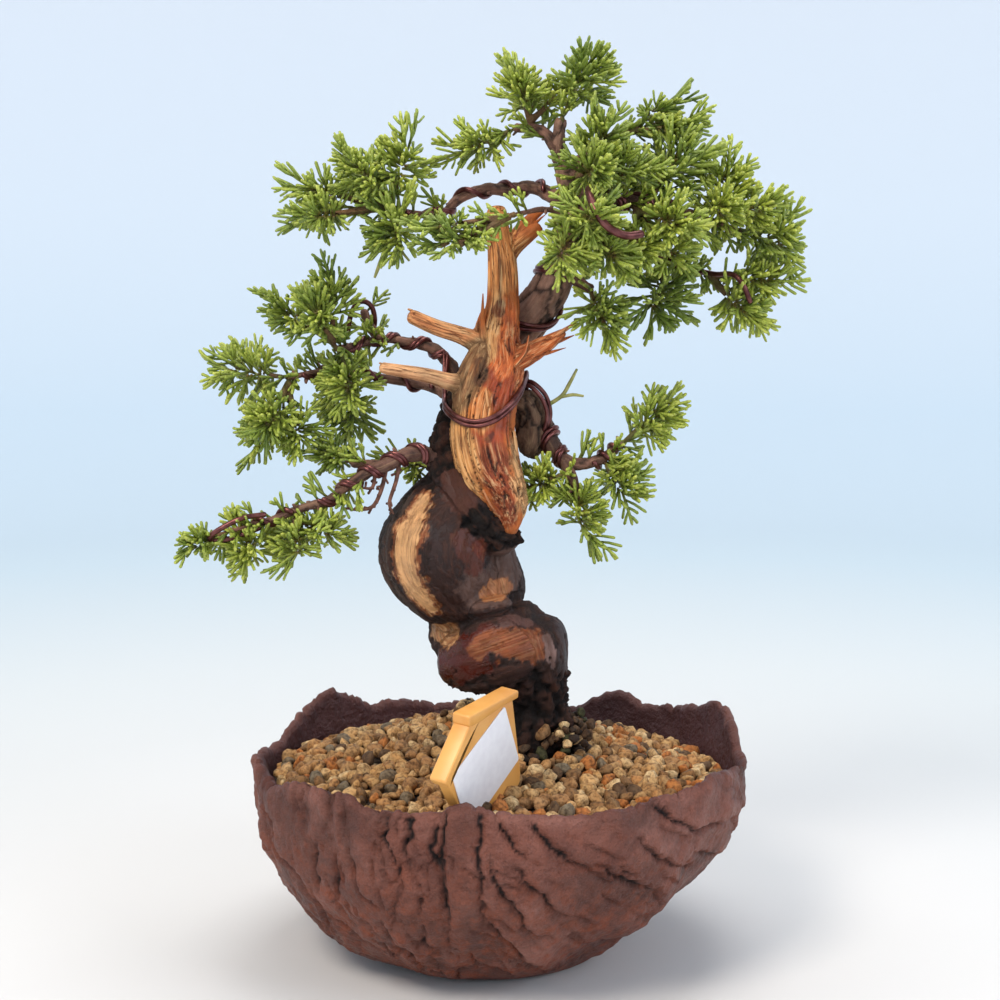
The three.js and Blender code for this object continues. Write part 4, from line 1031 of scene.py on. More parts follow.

# %% [markdown]
# Live juniper bark and polished bare wood share one material. Fibres one millimetre wide and many times as
# long follow the stored grain, strong on bare wood and faint on bark. Thin dark checks split the wood, the
# cracks between bark plates, the pits and the furrows are painted black as painted shade, and the sheen
# comes with each stroke, from satin to dry.

# %% Wood finish
def wood_finish(name, check_colour, flake_colour, cream, relief):
    """A finish whose colour starts from the stored paint and whose fibres follow the stored grain."""
    finish, tree, shader, place = new_finish(name)
    stored = ("grain", "paint", "rough", "painted_cleft_shade", "flow")
    grain, paint, rough, painted_cleft_shade, flow = (add(tree, "Attribute", attribute_name=word) for word in stored)
    along = add(tree, "Mapping", {"Vector": flow.outputs["Vector"], "Scale": (1, 1, 0.04)})
    fibre = add(tree, "TexNoise", {"Vector": along, "Scale": 0.85, "Detail": 6.0, "Roughness": 0.66})
    check = add(tree, "TexNoise", {"Vector": along, "Scale": 0.5, "Detail": 5.0, "Distortion": 0.4})
    mottle = add(tree, "TexNoise", {"Vector": place, "Scale": per_mm(7), "Detail": 6.0, "Roughness": 0.6})
    cloud = add(tree, "MapRange", {"Value": mottle, "From Min": 0.3, "From Max": 0.7,
                                   "To Min": 0.6, "To Max": 1.25})
    bare = add(tree, "MapRange", {"Value": grain.outputs["Fac"], "From Min": 0.28, "From Max": 1.0})
    across = add(tree, "Mapping", {"Vector": flow.outputs["Vector"], "Scale": (1, 1, 0.4)})
    peel = add(tree, "TexNoise", {"Vector": across, "Scale": 0.3, "Detail": 8.0, "Roughness": 0.68})
    flakes = add(tree, "MapRange", {"Value": peel, "From Min": 0.48, "From Max": 0.66, "To Max": 0.6})
    flake_share = add(tree, "Math", {0: flakes, 1: bare}, operation="SUBTRACT")
    flake_share.use_clamp = True
    dark = add(tree, "ValToRGB", {"Fac": fibre}, stops=[(0.3, "#96603F"), (0.5, "#FFFFFF")])
    pale = add(tree, "MapRange", {"Value": fibre, "From Min": 0.5, "From Max": 0.68, "To Max": cream})
    line = add(tree, "ValToRGB", {"Fac": check}, stops=[(0.472, BLACK), (0.508, BLACK), (0.49, WHITE)])
    pale_share = add(tree, "Math", {0: pale, 1: bare}, operation="MULTIPLY")
    line_share = add(tree, "Math", {0: line, 1: bare}, operation="MULTIPLY")
    wood = coated(
        tree, paint.outputs["Color"],
        (1.0, cloud, "MULTIPLY"),
        (flake_share, linear(flake_colour)),
        (grain.outputs["Fac"], dark, "MULTIPLY"),
        (pale_share, linear("#EBC18C")),
        (line_share, linear(check_colour)),
        # painted shade: cracks between plates, pits, furrows and deep checks are painted near black
        (painted_cleft_shade.outputs["Fac"], linear("#120B09")),
    )
    worn = add(tree, "MapRange", {"Value": mottle, "From Min": 0.3, "From Max": 0.7,
                                  "To Min": -0.1, "To Max": 0.12})
    sheen = add(tree, "Math", {0: rough.outputs["Fac"], 1: worn}, operation="ADD")
    crust = add(tree, "TexNoise", {"Vector": place, "Scale": per_mm(1.1), "Detail": 5.0, "Roughness": 0.7})
    crust_share = add(tree, "Math", {0: crust, 1: rough.outputs["Fac"]}, operation="MULTIPLY")
    streaks = add(tree, "Math", {0: fibre, 1: grain.outputs["Fac"]}, operation="MULTIPLY")
    cuts = add(tree, "Math", {0: streaks, 1: line_share}, operation="SUBTRACT")
    scaly = add(tree, "Math", {0: flake_share, 1: crust_share}, operation="ADD")
    heights = add(tree, "Math", {0: cuts, 1: scaly}, operation="ADD")
    fine = add(tree, "Bump", {"Height": heights, "Strength": 0.9, "Distance": relief * MM})
    plug(tree, shader, {"Base Color": wood, "Roughness": sheen, "Specular IOR Level": 0.35, "Normal": fine})
    return finish


bark = wood_finish("juniper bark and peeled wood", "#3A1A10", "#56301F", 0.75, 0.8)
piece("trunk_bark", trunk_mesh, bark, ["trunk"])

# %% [markdown]
# The branches are thin limbs in the same bark. They are knotted, because foliage once grew all along
# them, and each place where a twig was cut off or died back has a short spur.

# %% Branches
BRANCHES = {
    "low_left": [
        [-20, 0, 181, 4.2], [-28, -4, 187, 3.6], [-35, -8, 187, 3.2], [-42, -12, 184, 2.9],
        [-49, -14, 181, 2.5], [-55, -15, 177, 2.2], [-62, -17, 172, 2], [-72, -19, 169, 1.7],
        [-84, -23, 165, 1.4], [-96, -26, 162, 1.1],
    ],
    "low_left_fork": [[-42, -12, 184, 2.2], [-48, -9, 184, 1.8], [-54, -6, 184, 1.4]],
    "mid_left": [
        [-13, 10, 208, 5], [-20, 13, 221, 4], [-27, 14, 226, 3.4], [-36, 13, 228, 2.9],
        [-45, 10, 229, 2.5], [-53, 4, 227, 2.1], [-60, -3, 226, 1.8],
    ],
    "mid_left_fork": [[-45, 10, 229, 2.1], [-49, 13, 234, 1.8], [-51, 16, 239, 1.5]],
    "mid_low": [
        [-15, 13, 205, 4.4], [-24, 17, 210, 3.4], [-33, 19, 212, 2.9], [-44, 18, 214, 2.5],
        [-56, 14, 216, 2.1], [-67, 8, 217, 1.8], [-78, 3, 215, 1.5],
    ],
    "up_left": [
        [26, -2, 277, 4.2], [19, 8, 282, 3.9], [11, 12, 285, 3.6], [3, 12, 284, 3.3], [-7, 12, 284, 3],
        [-16, 10, 280, 2.6], [-22, 6, 275, 2.2], [-31, 0, 275, 1.9], [-39, -4, 277, 1.6],
    ],
    "crown_right": [
        [26, -2, 274, 4.2], [38, -8, 278, 3.4], [50, -6, 279, 2.9], [66, 2, 276, 2.3], [78, 8, 272, 1.9],
        [88, 11, 269, 1.6],
    ],
    "crown_low": [
        [26, 0, 267, 4], [37, 4, 268, 3.2], [48, 10, 263, 2.8], [62, 14, 258, 2.3], [75, 13, 254, 1.8],
    ],
    "crown_front": [[26, -1, 271, 3.6], [27, -9, 272, 2.5], [28, -15, 272, 1.8]],
    "crown_back": [[27, -2, 278, 3.6], [30, 9, 280, 2.6], [34, 19, 283, 1.9]],
    "front_shoot": [[27, -8, 272, 1.9], [17, -16, 276, 1.6], [5, -22, 274, 1.3]],
    "top_left": [[21, 2, 298, 2.4], [15, 4, 305, 1.9], [6, 4, 306, 1.5]],
    "top_right": [[24, 0, 289, 2.8], [33, 6, 297, 2], [44, 9, 304, 1.6]],
    "low_mid": [[22, 4, 256, 3.4], [28, 0, 251, 2.4], [33, -3, 248, 1.8]],
    "right_low": [
        [-8, 17, 201, 7.5], [2, 20, 202, 7.2], [10, 20, 202, 6.6], [15, 15, 198, 4.8], [19, 9, 191, 3.4],
        [23, 5, 185, 2.7], [30, 3, 183, 2.2], [38, 3, 185, 1.9], [45, 4, 190, 1.6],
    ],
    "right_hang": [[23, 5, 185, 2.2], [26, 0, 180, 1.9], [28, -2, 175, 1.5]],
    "neck_twig": [[-18, 10, 180, 2.4], [-27, 11, 181, 1.6]],
}
SLIMMER = {
    "mid_left": 0.6, "mid_low": 0.65, "up_left": 0.68, "crown_right": 0.8, "crown_low": 0.8,
    "low_left": 0.86, "front_shoot": 0.62,
}
for name, share in SLIMMER.items():
    BRANCHES[name] = [[*row[:3], row[3] * share] for row in BRANCHES[name]]
SPURS_PER_MM = 0.11
random = np.random.default_rng(19)
spurs = []
for stations in BRANCHES.values():
    path = spline(stations, 1.0)
    ahead, across, beside = axes_along(path)
    for index in np.flatnonzero(random.uniform(size=len(path)) < SPURS_PER_MM):
        turn = random.uniform(0, 2 * math.pi)
        way = across[index] * math.cos(turn) + beside[index] * math.sin(turn) + 0.5 * ahead[index]
        reach, thick = path[index, 3] + random.uniform(0.6, 2.8), random.uniform(0.4, 0.75)
        tip = path[index, :3] + way * reach
        spurs.append([[*(path[index, :3]), thick * 1.3], [*(tip - way * 0.8), thick], [*tip, 0.7 * thick]])
branch_limbs = list(BRANCHES.values()) + spurs
branch_mesh = to_mesh("branches", *[limb(stations, 12, 0.8) for stations in BRANCHES.values()],
                      *[limb(stations, 5, 1.5) for stations in spurs])
points = points_of(branch_mesh)
flow = grain_place(points, branch_limbs)
girth = np.hypot(flow[:, 0], flow[:, 1])
knots = rumple(points, 4.2, 3, 14)
scales = rumple(flow * (1, 1, 0.4), 1.6, 2, 15)
push(branch_mesh, np.minimum(girth, 4) * (0.24 * knots + 0.14 * scales))
age = soft_step(girth, 1.2, 4)[:, None]
mix = soft_step(rumple(points, 7, 2, 28), -0.3, 0.4)[:, None]
colour = (np.array(linear("#8E6656")) * (1 - age) + np.array(linear("#5B4038")) * age) * (0.65 + 0.5 * mix)
# The hollows between bark scales are stored to be painted dark: painted shade.
keep_wood(branch_mesh, flow, colour, 0.75, 0.4, 0.8 * soft_step(-scales, 0.2, 0.7))
piece("branches", branch_mesh, bark)

# %% [markdown]
# The old leader died and was stripped to bare wood: a column with torn stubs. It is made like the trunk,
# with a finer voxel, and then carved with long grooves that follow the grain. Shards stand off where the
# wood was torn: thin limbs with flat sides, sharp at the free end.

# %% Deadwood
DEADWOOD_COLUMN = [
    [4, -13, 160, 2.5], [3.5, -12, 166, 5.8], [0.8, -10, 174, 9.2], [-4, -8, 182, 11.6],
    [-6.5, -6, 192, 11.8], [-6.5, -4, 199, 11.9], [-5.5, -3, 206, 11.8], [-3, -2, 213, 10.7],
    [-0.6, -1, 220, 9.3], [-0.8, 0, 229, 8.1],
    [0.6, 0, 238, 6.4], [1.1, 0, 245, 5.7], [0.8, 0, 258, 5.2], [-0.6, 0, 269, 4.2], [-1, 0, 276, 3.6],
]
DEADWOOD_STUBS = [
    [[-5, -2, 227, 4.8], [-14, -5, 231, 3.2], [-23, -8, 234, 2.9], [-32, -10, 238, 2.6]],
    [[-8, -4, 212, 5], [-17, -10, 214, 3.4], [-27, -15, 217, 2.7], [-42, -20, 220, 2.1]],
    [[0, -2, 219, 5], [10, -4, 224, 4.2], [17, -5, 228, 3.2], [23, -6, 232, 1.6]],
    [[1, 0, 258, 4.2], [5, 1, 263, 3.4], [10, 2, 267, 2.8], [14, 3, 270, 2.2]],
    [[3, 0, 262, 3.4], [7, 3, 269, 2.4], [12, 5, 274, 2], [16, 6, 277, 1.3]],
    [[-8, -3, 227, 3], [-7, -2, 235, 1.8], [-6, -1, 240, 1]],
    [[-14, -6, 203, 3.5], [-12.5, -8, 211, 5], [-10, -7, 219, 4.6], [-7, -5, 226, 3.6]],
    [[5.5, -12, 176, 3.4], [7, -12, 170, 3], [5.5, -12, 164, 2.4]],
]
SHARDS = [
    [[-5.5, -6, 226, 1.8], [-6.3, -5.5, 236, 1.3], [-6.2, -5, 246, 0.3]],
    [[-8.2, -5, 222, 1.6], [-8.6, -5, 230, 1.0], [-8, -4.6, 237, 0.3]],
    [[4.5, -9, 196, 1.4], [6, -9, 186, 1.6], [8.2, -9.5, 177, 1.2], [9.2, -10, 170, 0.3]],
    [[3, -14, 190, 1.2], [6, -14.5, 181, 1.5], [8.4, -14, 172, 1.0], [8.6, -13, 166, 0.3]],
    [[15, -6, 228, 1.6], [22, -7, 232, 1.2], [28, -7.5, 236, 0.3]],
    [[14, -4, 226, 1.4], [22, -5, 229, 1.0], [27, -6, 231, 0.25]],
    [[12, -5, 223, 1.2], [19, -6, 225, 0.8], [24, -7, 226.5, 0.25]],
    [[-25, -9, 236, 1.3], [-31, -10, 239.5, 1], [-33.2, -10.5, 240.6, 0.6]],
    [[-26, -8, 233.5, 1.1], [-31, -9, 235.5, 0.8], [-33, -9.3, 236.2, 0.5]],
    [[-36, -18, 219, 1.2], [-41, -20, 221, 0.9], [-43, -20.5, 221.6, 0.5]],
    [[4, -7, 219, 1.5], [9, -8, 225, 1.0], [10.5, -7, 231, 0.3]],
    [[-3, -12, 200, 1.2], [-4.5, -14.6, 207, 0.9], [-5, -14.5, 212, 0.3]],
    [[10, 2, 268, 1.2], [14, 3.5, 272.5, 0.8], [17, 4.5, 275, 0.3]],
    [[-6, -19.3, 176, 1.0], [-3, -20, 170, 1.1], [1, -20, 164, 0.3]],
    [[-14, 5, 190, 1.4], [-15, 6, 200, 1.0], [-14, 6, 209, 0.3]],
    [[5, 6, 200, 1.3], [5, 7, 209, 1.0], [4, 6.5, 217, 0.3]],
]
SHARD_THICKNESS = 0.72
DEADWOOD_STROKES = [
    ([[-13, -10, 172, 8], [-12, -12, 185, 8.5], [-13, -9, 198, 8]], 1, "#D29355", 0.0, 0.6, 1.0),
    ([[2, -20, 166, 5], [0, -22, 180, 6], [-2, -20, 196, 5]], 1, "#94421A", 0.5, 0.5, 1.0),
    ([[9, -12, 196, 4], [9, -14, 184, 4.5], [10, -13, 170, 4.5]], 1, "#D6A06A", -0.3, 0.6, 1.0),
    ([[-3, -16, 203, 8], [0, -14, 209, 9], [1, -11, 216, 7]], 1, "#9C3A08", 0.0, 0.36, 0.45),
    ([[-7, -14, 201, 4], [-8, -14, 209, 4]], 1, "#D07A38", -0.2, 0.5, 0.9),
    ([[1, -8, 222, 6], [2, -8, 240, 4.5]], 1, "#D06424", 0.0, 0.45, 0.7),
    ([[-4, -8, 224, 3], [-3, -8, 240, 3], [-2, -6, 256, 3]], 1, "#E0A062", 0.0, 0.55, 1.0),
    ([[0, -4, 256, 8], [-1, -3, 270, 8]], 1, "#D2884A", 0.0, 0.6, 1.0),
    (DEADWOOD_STUBS[0][1:], 2.2, "#D98F58", 0.0, 0.6, 0.9),
    (DEADWOOD_STUBS[1][1:], 2.2, "#DBA272", 0.0, 0.6, 0.8),
    (DEADWOOD_STUBS[2][1:], 2.4, "#C8662F", 0.0, 0.6, 1.0),
    (DEADWOOD_STUBS[6], 1.25, "#8A6440", 0.0, 0.75, 0.8),
    ([[-0.4, -6.6, 240, 2.2], [0.2, -6.4, 242, 1.8]], 1, "#7A4426", -0.5, 0.7, 0.9),
    ([[-7, -11, 216, 3], [-7.6, -10.4, 221, 2.4]], 1, "#5A3A26", -0.5, 0.8, 0.4),
    ([[4.5, -13.5, 206, 1.2], [1, -16.5, 200.5, 0.9], [-4, -17.5, 194, 1]], 1, "#5E2410", 0.3, 0.5, 0.3),
]
dead_limbs = [DEADWOOD_COLUMN] + DEADWOOD_STUBS + SHARDS
skin = bmesh.new()
skin.from_mesh(melted("deadwood", dead_limbs[:-len(SHARDS)], 0.62, 1))
shards = [limb([[*row[:3], SHARD_THICKNESS * row[3]] for row in stations], 6, 1.2) for stations in SHARDS]
dead_mesh = to_mesh("deadwood", skin, *shards)
points = points_of(dead_mesh)
flow = grain_place(points, dead_limbs)
tear = rumple(flow * (1, 1, 0.2), 4, 3, 17)
paint, depth, roughness, grain = painted(points, "#BC642C", DEADWOOD_STROKES, tear, 0.5)
girth = np.hypot(flow[:, 0], flow[:, 1])
grooves = rumple(flow * (1, 1, 0.06), 4.5, 3, 18)
splinters = rumple(flow * (1, 1, 0.05), 1.7, 2, 19)
checks = soft_step(np.abs(rumple(flow * (1, 1, 0.03), 4.2, 3, 20)), 0.0, 0.09) - 1
share = soft_step(girth, 1.5, 9)
carving = (0.1 + 0.9 * share) * grooves + (0.15 + 0.35 * share) * splinters + 1.1 * share * checks
push(dead_mesh, carving - depth)
# The deep checks are stored to be painted dark: painted shade in the cracks.
keep_wood(dead_mesh, flow, paint, roughness, grain, np.clip(-0.9 * share * checks, 0, 0.9))
bare = wood_finish("stripped juniper heartwood", "#6A2C12", "#A86A38", 0.7, 0.5)
piece("deadwood_carved", dead_mesh, bare, ["deadwood"])

# %% [markdown]
# Training wire is annealed aluminium, dyed brown. It is wound along a branch at a steady slope, so each
# wire is a helix round the branch's own curve. The windings start and end where the CAD's do, and the heavy
# ones are two strands laid side by side.

# %% Wire
MAIN_WIRE = 1.45
THIN_WIRE = 1.0
STRAND = 0.85
STEPS_PER_TURN = 20
WIRE_INTO_BARK = 0.3


def on_chain(stations, at):
    """The centre, the way ahead and the radius of a limb at a fractional station."""
    rows = np.array(stations, float)
    padded = np.vstack([2 * rows[0] - rows[1], rows, 2 * rows[-1] - rows[-2]])
    index = min(int(at), len(rows) - 2)
    t = at - index
    p0, p1, p2, p3 = padded[index:index + 4]
    a, b = 2 * p0 - 5 * p1 + 4 * p2 - p3, 3 * p1 - p0 - 3 * p2 + p3
    place = p1 + 0.5 * ((p2 - p0) * t + a * t ** 2 + b * t ** 3)
    ahead = 0.5 * ((p2 - p0) + 2 * a * t + 3 * b * t ** 2)[:3]
    return place[:3], ahead / np.linalg.norm(ahead), place[3]


def wound(stations, start, end, turns, wire, first_turn=0.0):
    """Stations of wire wound round a limb."""
    steps = round(abs(turns) * STEPS_PER_TURN)
    out = []
    for step in range(steps + 1):
        centre, ahead, radius = on_chain(stations, start + (end - start) * step / steps)
        front = np.array([0, -1, 0]) + ahead * ahead[1]
        front /= np.linalg.norm(front)
        angle = 2 * math.pi * (first_turn + turns * step / steps)
        way = front * math.cos(angle) + np.cross(ahead, front) * math.sin(angle)
        out.append([*(centre + way * (radius + wire - WIRE_INTO_BARK)), wire])
    return out


TRUNK_RING = [
    [10, 9, 215.5], [9, 2, 214.5], [7.4, -5.5, 211], [3.8, -12.2, 206.5], [-2, -16.3, 202.3],
    [-9, -16.8, 200.5], [-15.5, -13, 202], [-20, -6, 205.5], [-20.5, 3, 209],
]
WINDINGS = {
    "wire_low_pair": [("right_low", 5.1, 2.2, -3, 0.3), TRUNK_RING, ("mid_left", 1.1, 5.4, -3.5, 0.1)],
    "wire_mid_low": [("mid_low", 1.1, 5.6, 4, 0)],
    "wire_low_left": [("low_left", 0.9, 6.2, 4.2, 0.9)],
    "wire_low_left_end": [("low_left", 7.3, 8.4, 1.5, 0)],
    "wire_live_vein": [("live_vein", 3.4, 7.4, 2.05, 0.744), ("crown_right", 0.9, 2.7, 2.5, 0.3)],
    "wire_up_left": [("up_left", 1.2, 7.4, 4, 0)],
    "wire_crown_low": [("crown_low", 1.2, 3.7, 2.5, 0)],
    "wire_right_low": [("right_low", 6.6, 7.8, 2, 0)],
    "wire_top": [("top_right", 0.6, 1.8, 1.5, 0)],
}
PAIRED = ["wire_low_pair", "wire_low_left", "wire_live_vein"]


def strand(parts, wire, shift):
    """The stations of one strand, shifted along the wood so that it lies beside its twin."""
    out = []
    for part in parts:
        if part is TRUNK_RING:
            out += [[x, y, z - 2 * wire * shift, wire] for x, y, z in part]
        else:
            name, start, end, turns, first = part
            stations = {**BRANCHES, "live_vein": LIVE_VEIN}[name]
            rows = np.array(stations)[:, :3]
            step = np.linalg.norm(rows[1:] - rows[:-1], axis=1).mean()
            beside = 2 * wire * shift / step
            out += wound(stations, start + beside, end + beside, turns, wire, first)
    return out


LOOSE_ENDS = {
    "wire_stub_ring": (STRAND, [
        [8, 14, 212.5], [12, 8, 213], [16.8, 7, 208.5], [18.8, 8, 202], [17.6, 8.5, 196], [14, 12, 190.5],
    ]),
    "wire_stub_ring_twin": (STRAND, [
        [8, 13, 211], [11, 6.5, 211.8], [15.4, 5.4, 207.5], [17.6, 6.4, 201.4], [16.6, 7, 195.6],
        [13.5, 11, 189.5],
    ]),
    "wire_stub_loop": (THIN_WIRE, [
        [-57, 13, 231], [-56, 12.5, 237], [-54, 12, 241.5], [-51, 12, 243], [-48, 13, 241], [-47, 15, 236],
        [-48, 17, 231],
    ]),
    "wire_crown_end": (MAIN_WIRE, [
        [36, -6, 279], [32, -18, 283], [31, -30, 281], [33, -36, 275], [37, -38, 269.5], [43, -38, 266.5],
        [49, -35, 267],
    ]),
    "wire_tail": (THIN_WIRE, [
        [75, 12, 254], [80, 6, 253], [85, 0, 253], [88.5, -3, 249.5], [91.5, -2, 243],
    ]),
    "wire_low_end": (THIN_WIRE, [
        [-84, -27, 168], [-92, -30, 167], [-100, -31, 163], [-103.5, -30, 160], [-101, -28, 158.5],
        [-94, -26, 160], [-86, -25, 163],
    ]),
}
# Dyed brown by anodising, then softened by heat: a dull metal that shines where it was handled.
anodised, tree, shader, place = new_finish("anodised aluminium wire, brown, annealed")
handled = add(tree, "TexNoise", {"Vector": place, "Scale": per_mm(4), "Detail": 4.0})
dye = add(tree, "ValToRGB", {"Fac": handled}, stops=[(0.35, "#4E2827"), (0.68, "#85524E")])
worn = add(tree, "MapRange", {"Value": handled, "To Min": 0.24, "To Max": 0.46})
plug(tree, shader, {"Base Color": dye, "Metallic": 0.75, "Roughness": worn})
for name, parts in WINDINGS.items():
    if name in PAIRED:
        strands = [strand(parts, STRAND, 0), strand(parts, STRAND, 1)]
    else:
        strands = [strand(parts, THIN_WIRE, 0)]
    winding = to_mesh(name, *[limb(stations, 8, 1.0) for stations in strands])
    piece(name + "_wound", winding, anodised, [name])
loose_ends = [limb([[*row, radius] for row in rows], 10, 1.1) for radius, rows in LOOSE_ENDS.values()]
piece("wire_loose_ends", to_mesh("wire_ends", *loose_ends), anodised)

# %% [markdown]
# Shimpaku foliage is cord-like: shoots a millimetre and a half thick, covered in tiny scales, that fork
# again and again. Each branchlet is a main shoot with fingers that leave it to left and right and reach
# nearly as far. Four lengths, each with a few draws, make the templates, bent as growing tips are.

# %% Foliage: branchlets
BRANCHLET_FINGERS = {7: 2, 10: 3, 13: 5, 17: 7}
BRANCHLET_LENGTHS = list(BRANCHLET_FINGERS)
VARIANTS = 5
SHOOT = 0.66
SHOOT_SHARES = [(0, 0.7), (0.4, 0.92), (0.92, 1.0), (1, 0.55)]


def shoot(start, end, lift, thick, low, high, sides):
    """One cord-like shoot that bends towards `lift`, with tone from low to high along it."""
    start, end, lift = np.array(start, float), np.array(end, float), np.array(lift, float)
    stations = [[*(start + (end - start) * s + lift * s * s), thick * w] for s, w in SHOOT_SHARES]
    bm = limb(stations, sides, 99, domed=False)
    layer = bm.verts.layers.float.new("tone")
    way = end - start
    for vert in bm.verts:
        share = np.dot(np.array(vert.co) - start, way) / np.dot(way, way)
        vert[layer] = low + (high - low) * min(1, max(0, share))
    return bm


def branchlet(length, fingers, random):
    """A branchlet along +Z that bends towards +X and spreads along Y."""
    bend = np.array([random.uniform(0.08, 0.3) * length, random.uniform(-0.14, 0.14) * length, 0])
    parts = [shoot((0, 0, 0), (0, 0, length), bend, SHOOT, 0.0, 1.0, 5)]
    for index in range(fingers):
        share = 0.2 + 0.62 * (index + random.uniform(-0.25, 0.3)) / fingers
        side = math.pi * index + random.uniform(-0.45, 0.45)
        lean = random.uniform(0.5, 0.9)
        reach = min(10, max(4.4, length * (1 - share) * random.uniform(0.7, 1.25)))
        start = np.array([0, 0, length * share]) + bend * share ** 2
        out = np.array([math.sin(side), math.cos(side), 0])
        end = start + reach * (math.sin(lean) * out + np.array([0, 0, math.cos(lean)]))
        inward = reach * (np.array([0.12, 0, 0.04]) - 0.16 * out)
        thick = SHOOT * random.uniform(0.86, 1)
        parts.append(shoot(start, end, inward, thick, 0.4 * share, 0.85 + 0.15 * share, 4))
    return parts


random = np.random.default_rng(5)
branchlets = []
for length, fingers in BRANCHLET_FINGERS.items():
    branchlets += [template(*branchlet(length, fingers, random)) for _ in range(VARIANTS)]
print([len(sizes) for _, _, sizes, _ in branchlets], "faces in the branchlets")

# %% [markdown]
# The CAD model plans every spray: its solids are slim stems whose faces are drawn out into three-sided
# shoots. So the place of each branchlet is read from the frame. A shoot's tip is a point with just three
# long edges, and its foot is the middle of the other ends of those edges. A stem's end is a pole, a point
# with four short edges: it is free where shoots stand close to it, and rooted in the branch elsewhere.

# %% Foliage: sprays
SHORTEST_SHOOT = 3.0
POLE_EDGE = 1.6
FREE_END_REACH = 3.6


def read_spray(node):
    """A spray's shoots as foot and tip, its free ends as place and way, its root, and its bare stems."""
    bm = bmesh.new()
    bm.from_mesh(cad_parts[node].data)
    bmesh.ops.scale(bm, vec=(1000, 1000, 1000), verts=bm.verts)
    bmesh.ops.remove_doubles(bm, verts=bm.verts, dist=0.01)
    tips, pairs, poles = [], [], []
    for vert in bm.verts:
        ends = [edge.other_vert(vert).co for edge in vert.link_edges]
        lengths = [(end - vert.co).length for end in ends]
        middle = sum(ends, Vector()) / len(ends)
        if len(ends) == 3 and min(lengths) > SHORTEST_SHOOT:
            tips.append(vert)
            pairs.append((middle, vert.co.copy()))
        elif len(ends) == 4 and max(lengths) < POLE_EDGE:
            poles.append((vert.co.copy(), (vert.co - middle).normalized()))
    free, roots = [], []
    for place, way in poles:
        near = min((foot - place).length for foot, _ in pairs)
        (free if near < FREE_END_REACH else roots).append((place, way))
    root = sum((place for place, _ in roots), Vector()) / len(roots)
    bmesh.ops.delete(bm, geom=tips, context="VERTS")
    bmesh.ops.holes_fill(bm, edges=[edge for edge in bm.edges if edge.is_boundary], sides=3)
    return pairs, free, root, bm


TREE_AXIS = (10, 2)
COMBED = 0.55
BESIDE_SHARE = 0.12
TUFT_SHOOTS = 3
LEAF_BOX = 1000 * np.array(CAD_BOX)


def room_for(foot, way):
    """The share of the way that a branchlet may grow before it leaves the CAD model's box."""
    tip, share = foot + way, 1.0
    for axis in range(3):
        side = LEAF_BOX[1 if way[axis] > 0 else 0][axis]
        if (tip[axis] - side) * way[axis] > 0:
            share = min(share, (side - foot[axis]) / way[axis])
    return max(0.35, share)


def swayed(way, amount, random):
    """A direction turned a little at random, with its length kept."""
    return (way.normalized() + amount * Vector(random.normal(size=3))).normalized() * way.length


def grow_copy(foot, way, outward, random):
    """A copy of the branchlet that fits along `way`, turned so that it bends up and outwards."""
    length = way.length
    family = min(range(len(BRANCHLET_LENGTHS)), key=lambda i: abs(BRANCHLET_LENGTHS[i] - length))
    ahead = way.normalized()
    up = Vector((0, 0, 0.35)) + 0.8 * outward + 0.4 * Vector(random.normal(size=3))
    up = (up - ahead * up.dot(ahead)).normalized()
    size = length / BRANCHLET_LENGTHS[family]
    thick = 0.55 * size + 0.45
    columns = [up * thick, ahead.cross(up) * thick, ahead * size]
    matrix = Matrix([[*row] for row in zip(*columns)]).to_4x4()
    index = family * VARIANTS + int(random.integers(VARIANTS))
    return index, Matrix.Translation(foot) @ matrix


def spray_copies(pairs, free, random):
    """Every branchlet of a spray: one for each shoot, shorter ones beside some, and a tuft at each free end.

    All of a spray's branchlets are combed a little towards the light, and none leaves the CAD model's box.
    """
    centre = sum((foot for foot, _ in pairs), Vector()) / len(pairs)
    outward = (centre - Vector((*TREE_AXIS, centre.z - 12))).normalized()
    comb = (outward + 0.5 * Vector(random.normal(size=3))).normalized() * COMBED
    tint = random.uniform(0.2, 0.8)
    grown = []
    for foot, tip in pairs:
        way = tip - foot
        combed = (way.normalized() + comb).normalized() * way.length
        grown.append((foot, swayed(combed, 0.26, random) * random.uniform(0.85, 1.5)))
        if random.uniform() < BESIDE_SHARE:
            grown.append((foot, swayed(combed, 0.5, random) * random.uniform(0.55, 1.0)))
    for place, way in free:
        way = (way + comb).normalized()
        grown += [
            (place - way * 0.6, swayed(way, 0.3, random) * random.uniform(9, 17)) for _ in range(TUFT_SHOOTS)
        ]
    copies = []
    for foot, way in grown:
        way = way * room_for(foot, way)
        outward = (foot + way - centre).normalized()
        shade = min(1, max(0, tint + random.normal() * 0.22))
        copies.append((*grow_copy(foot, way, outward, random), shade))
    return copies


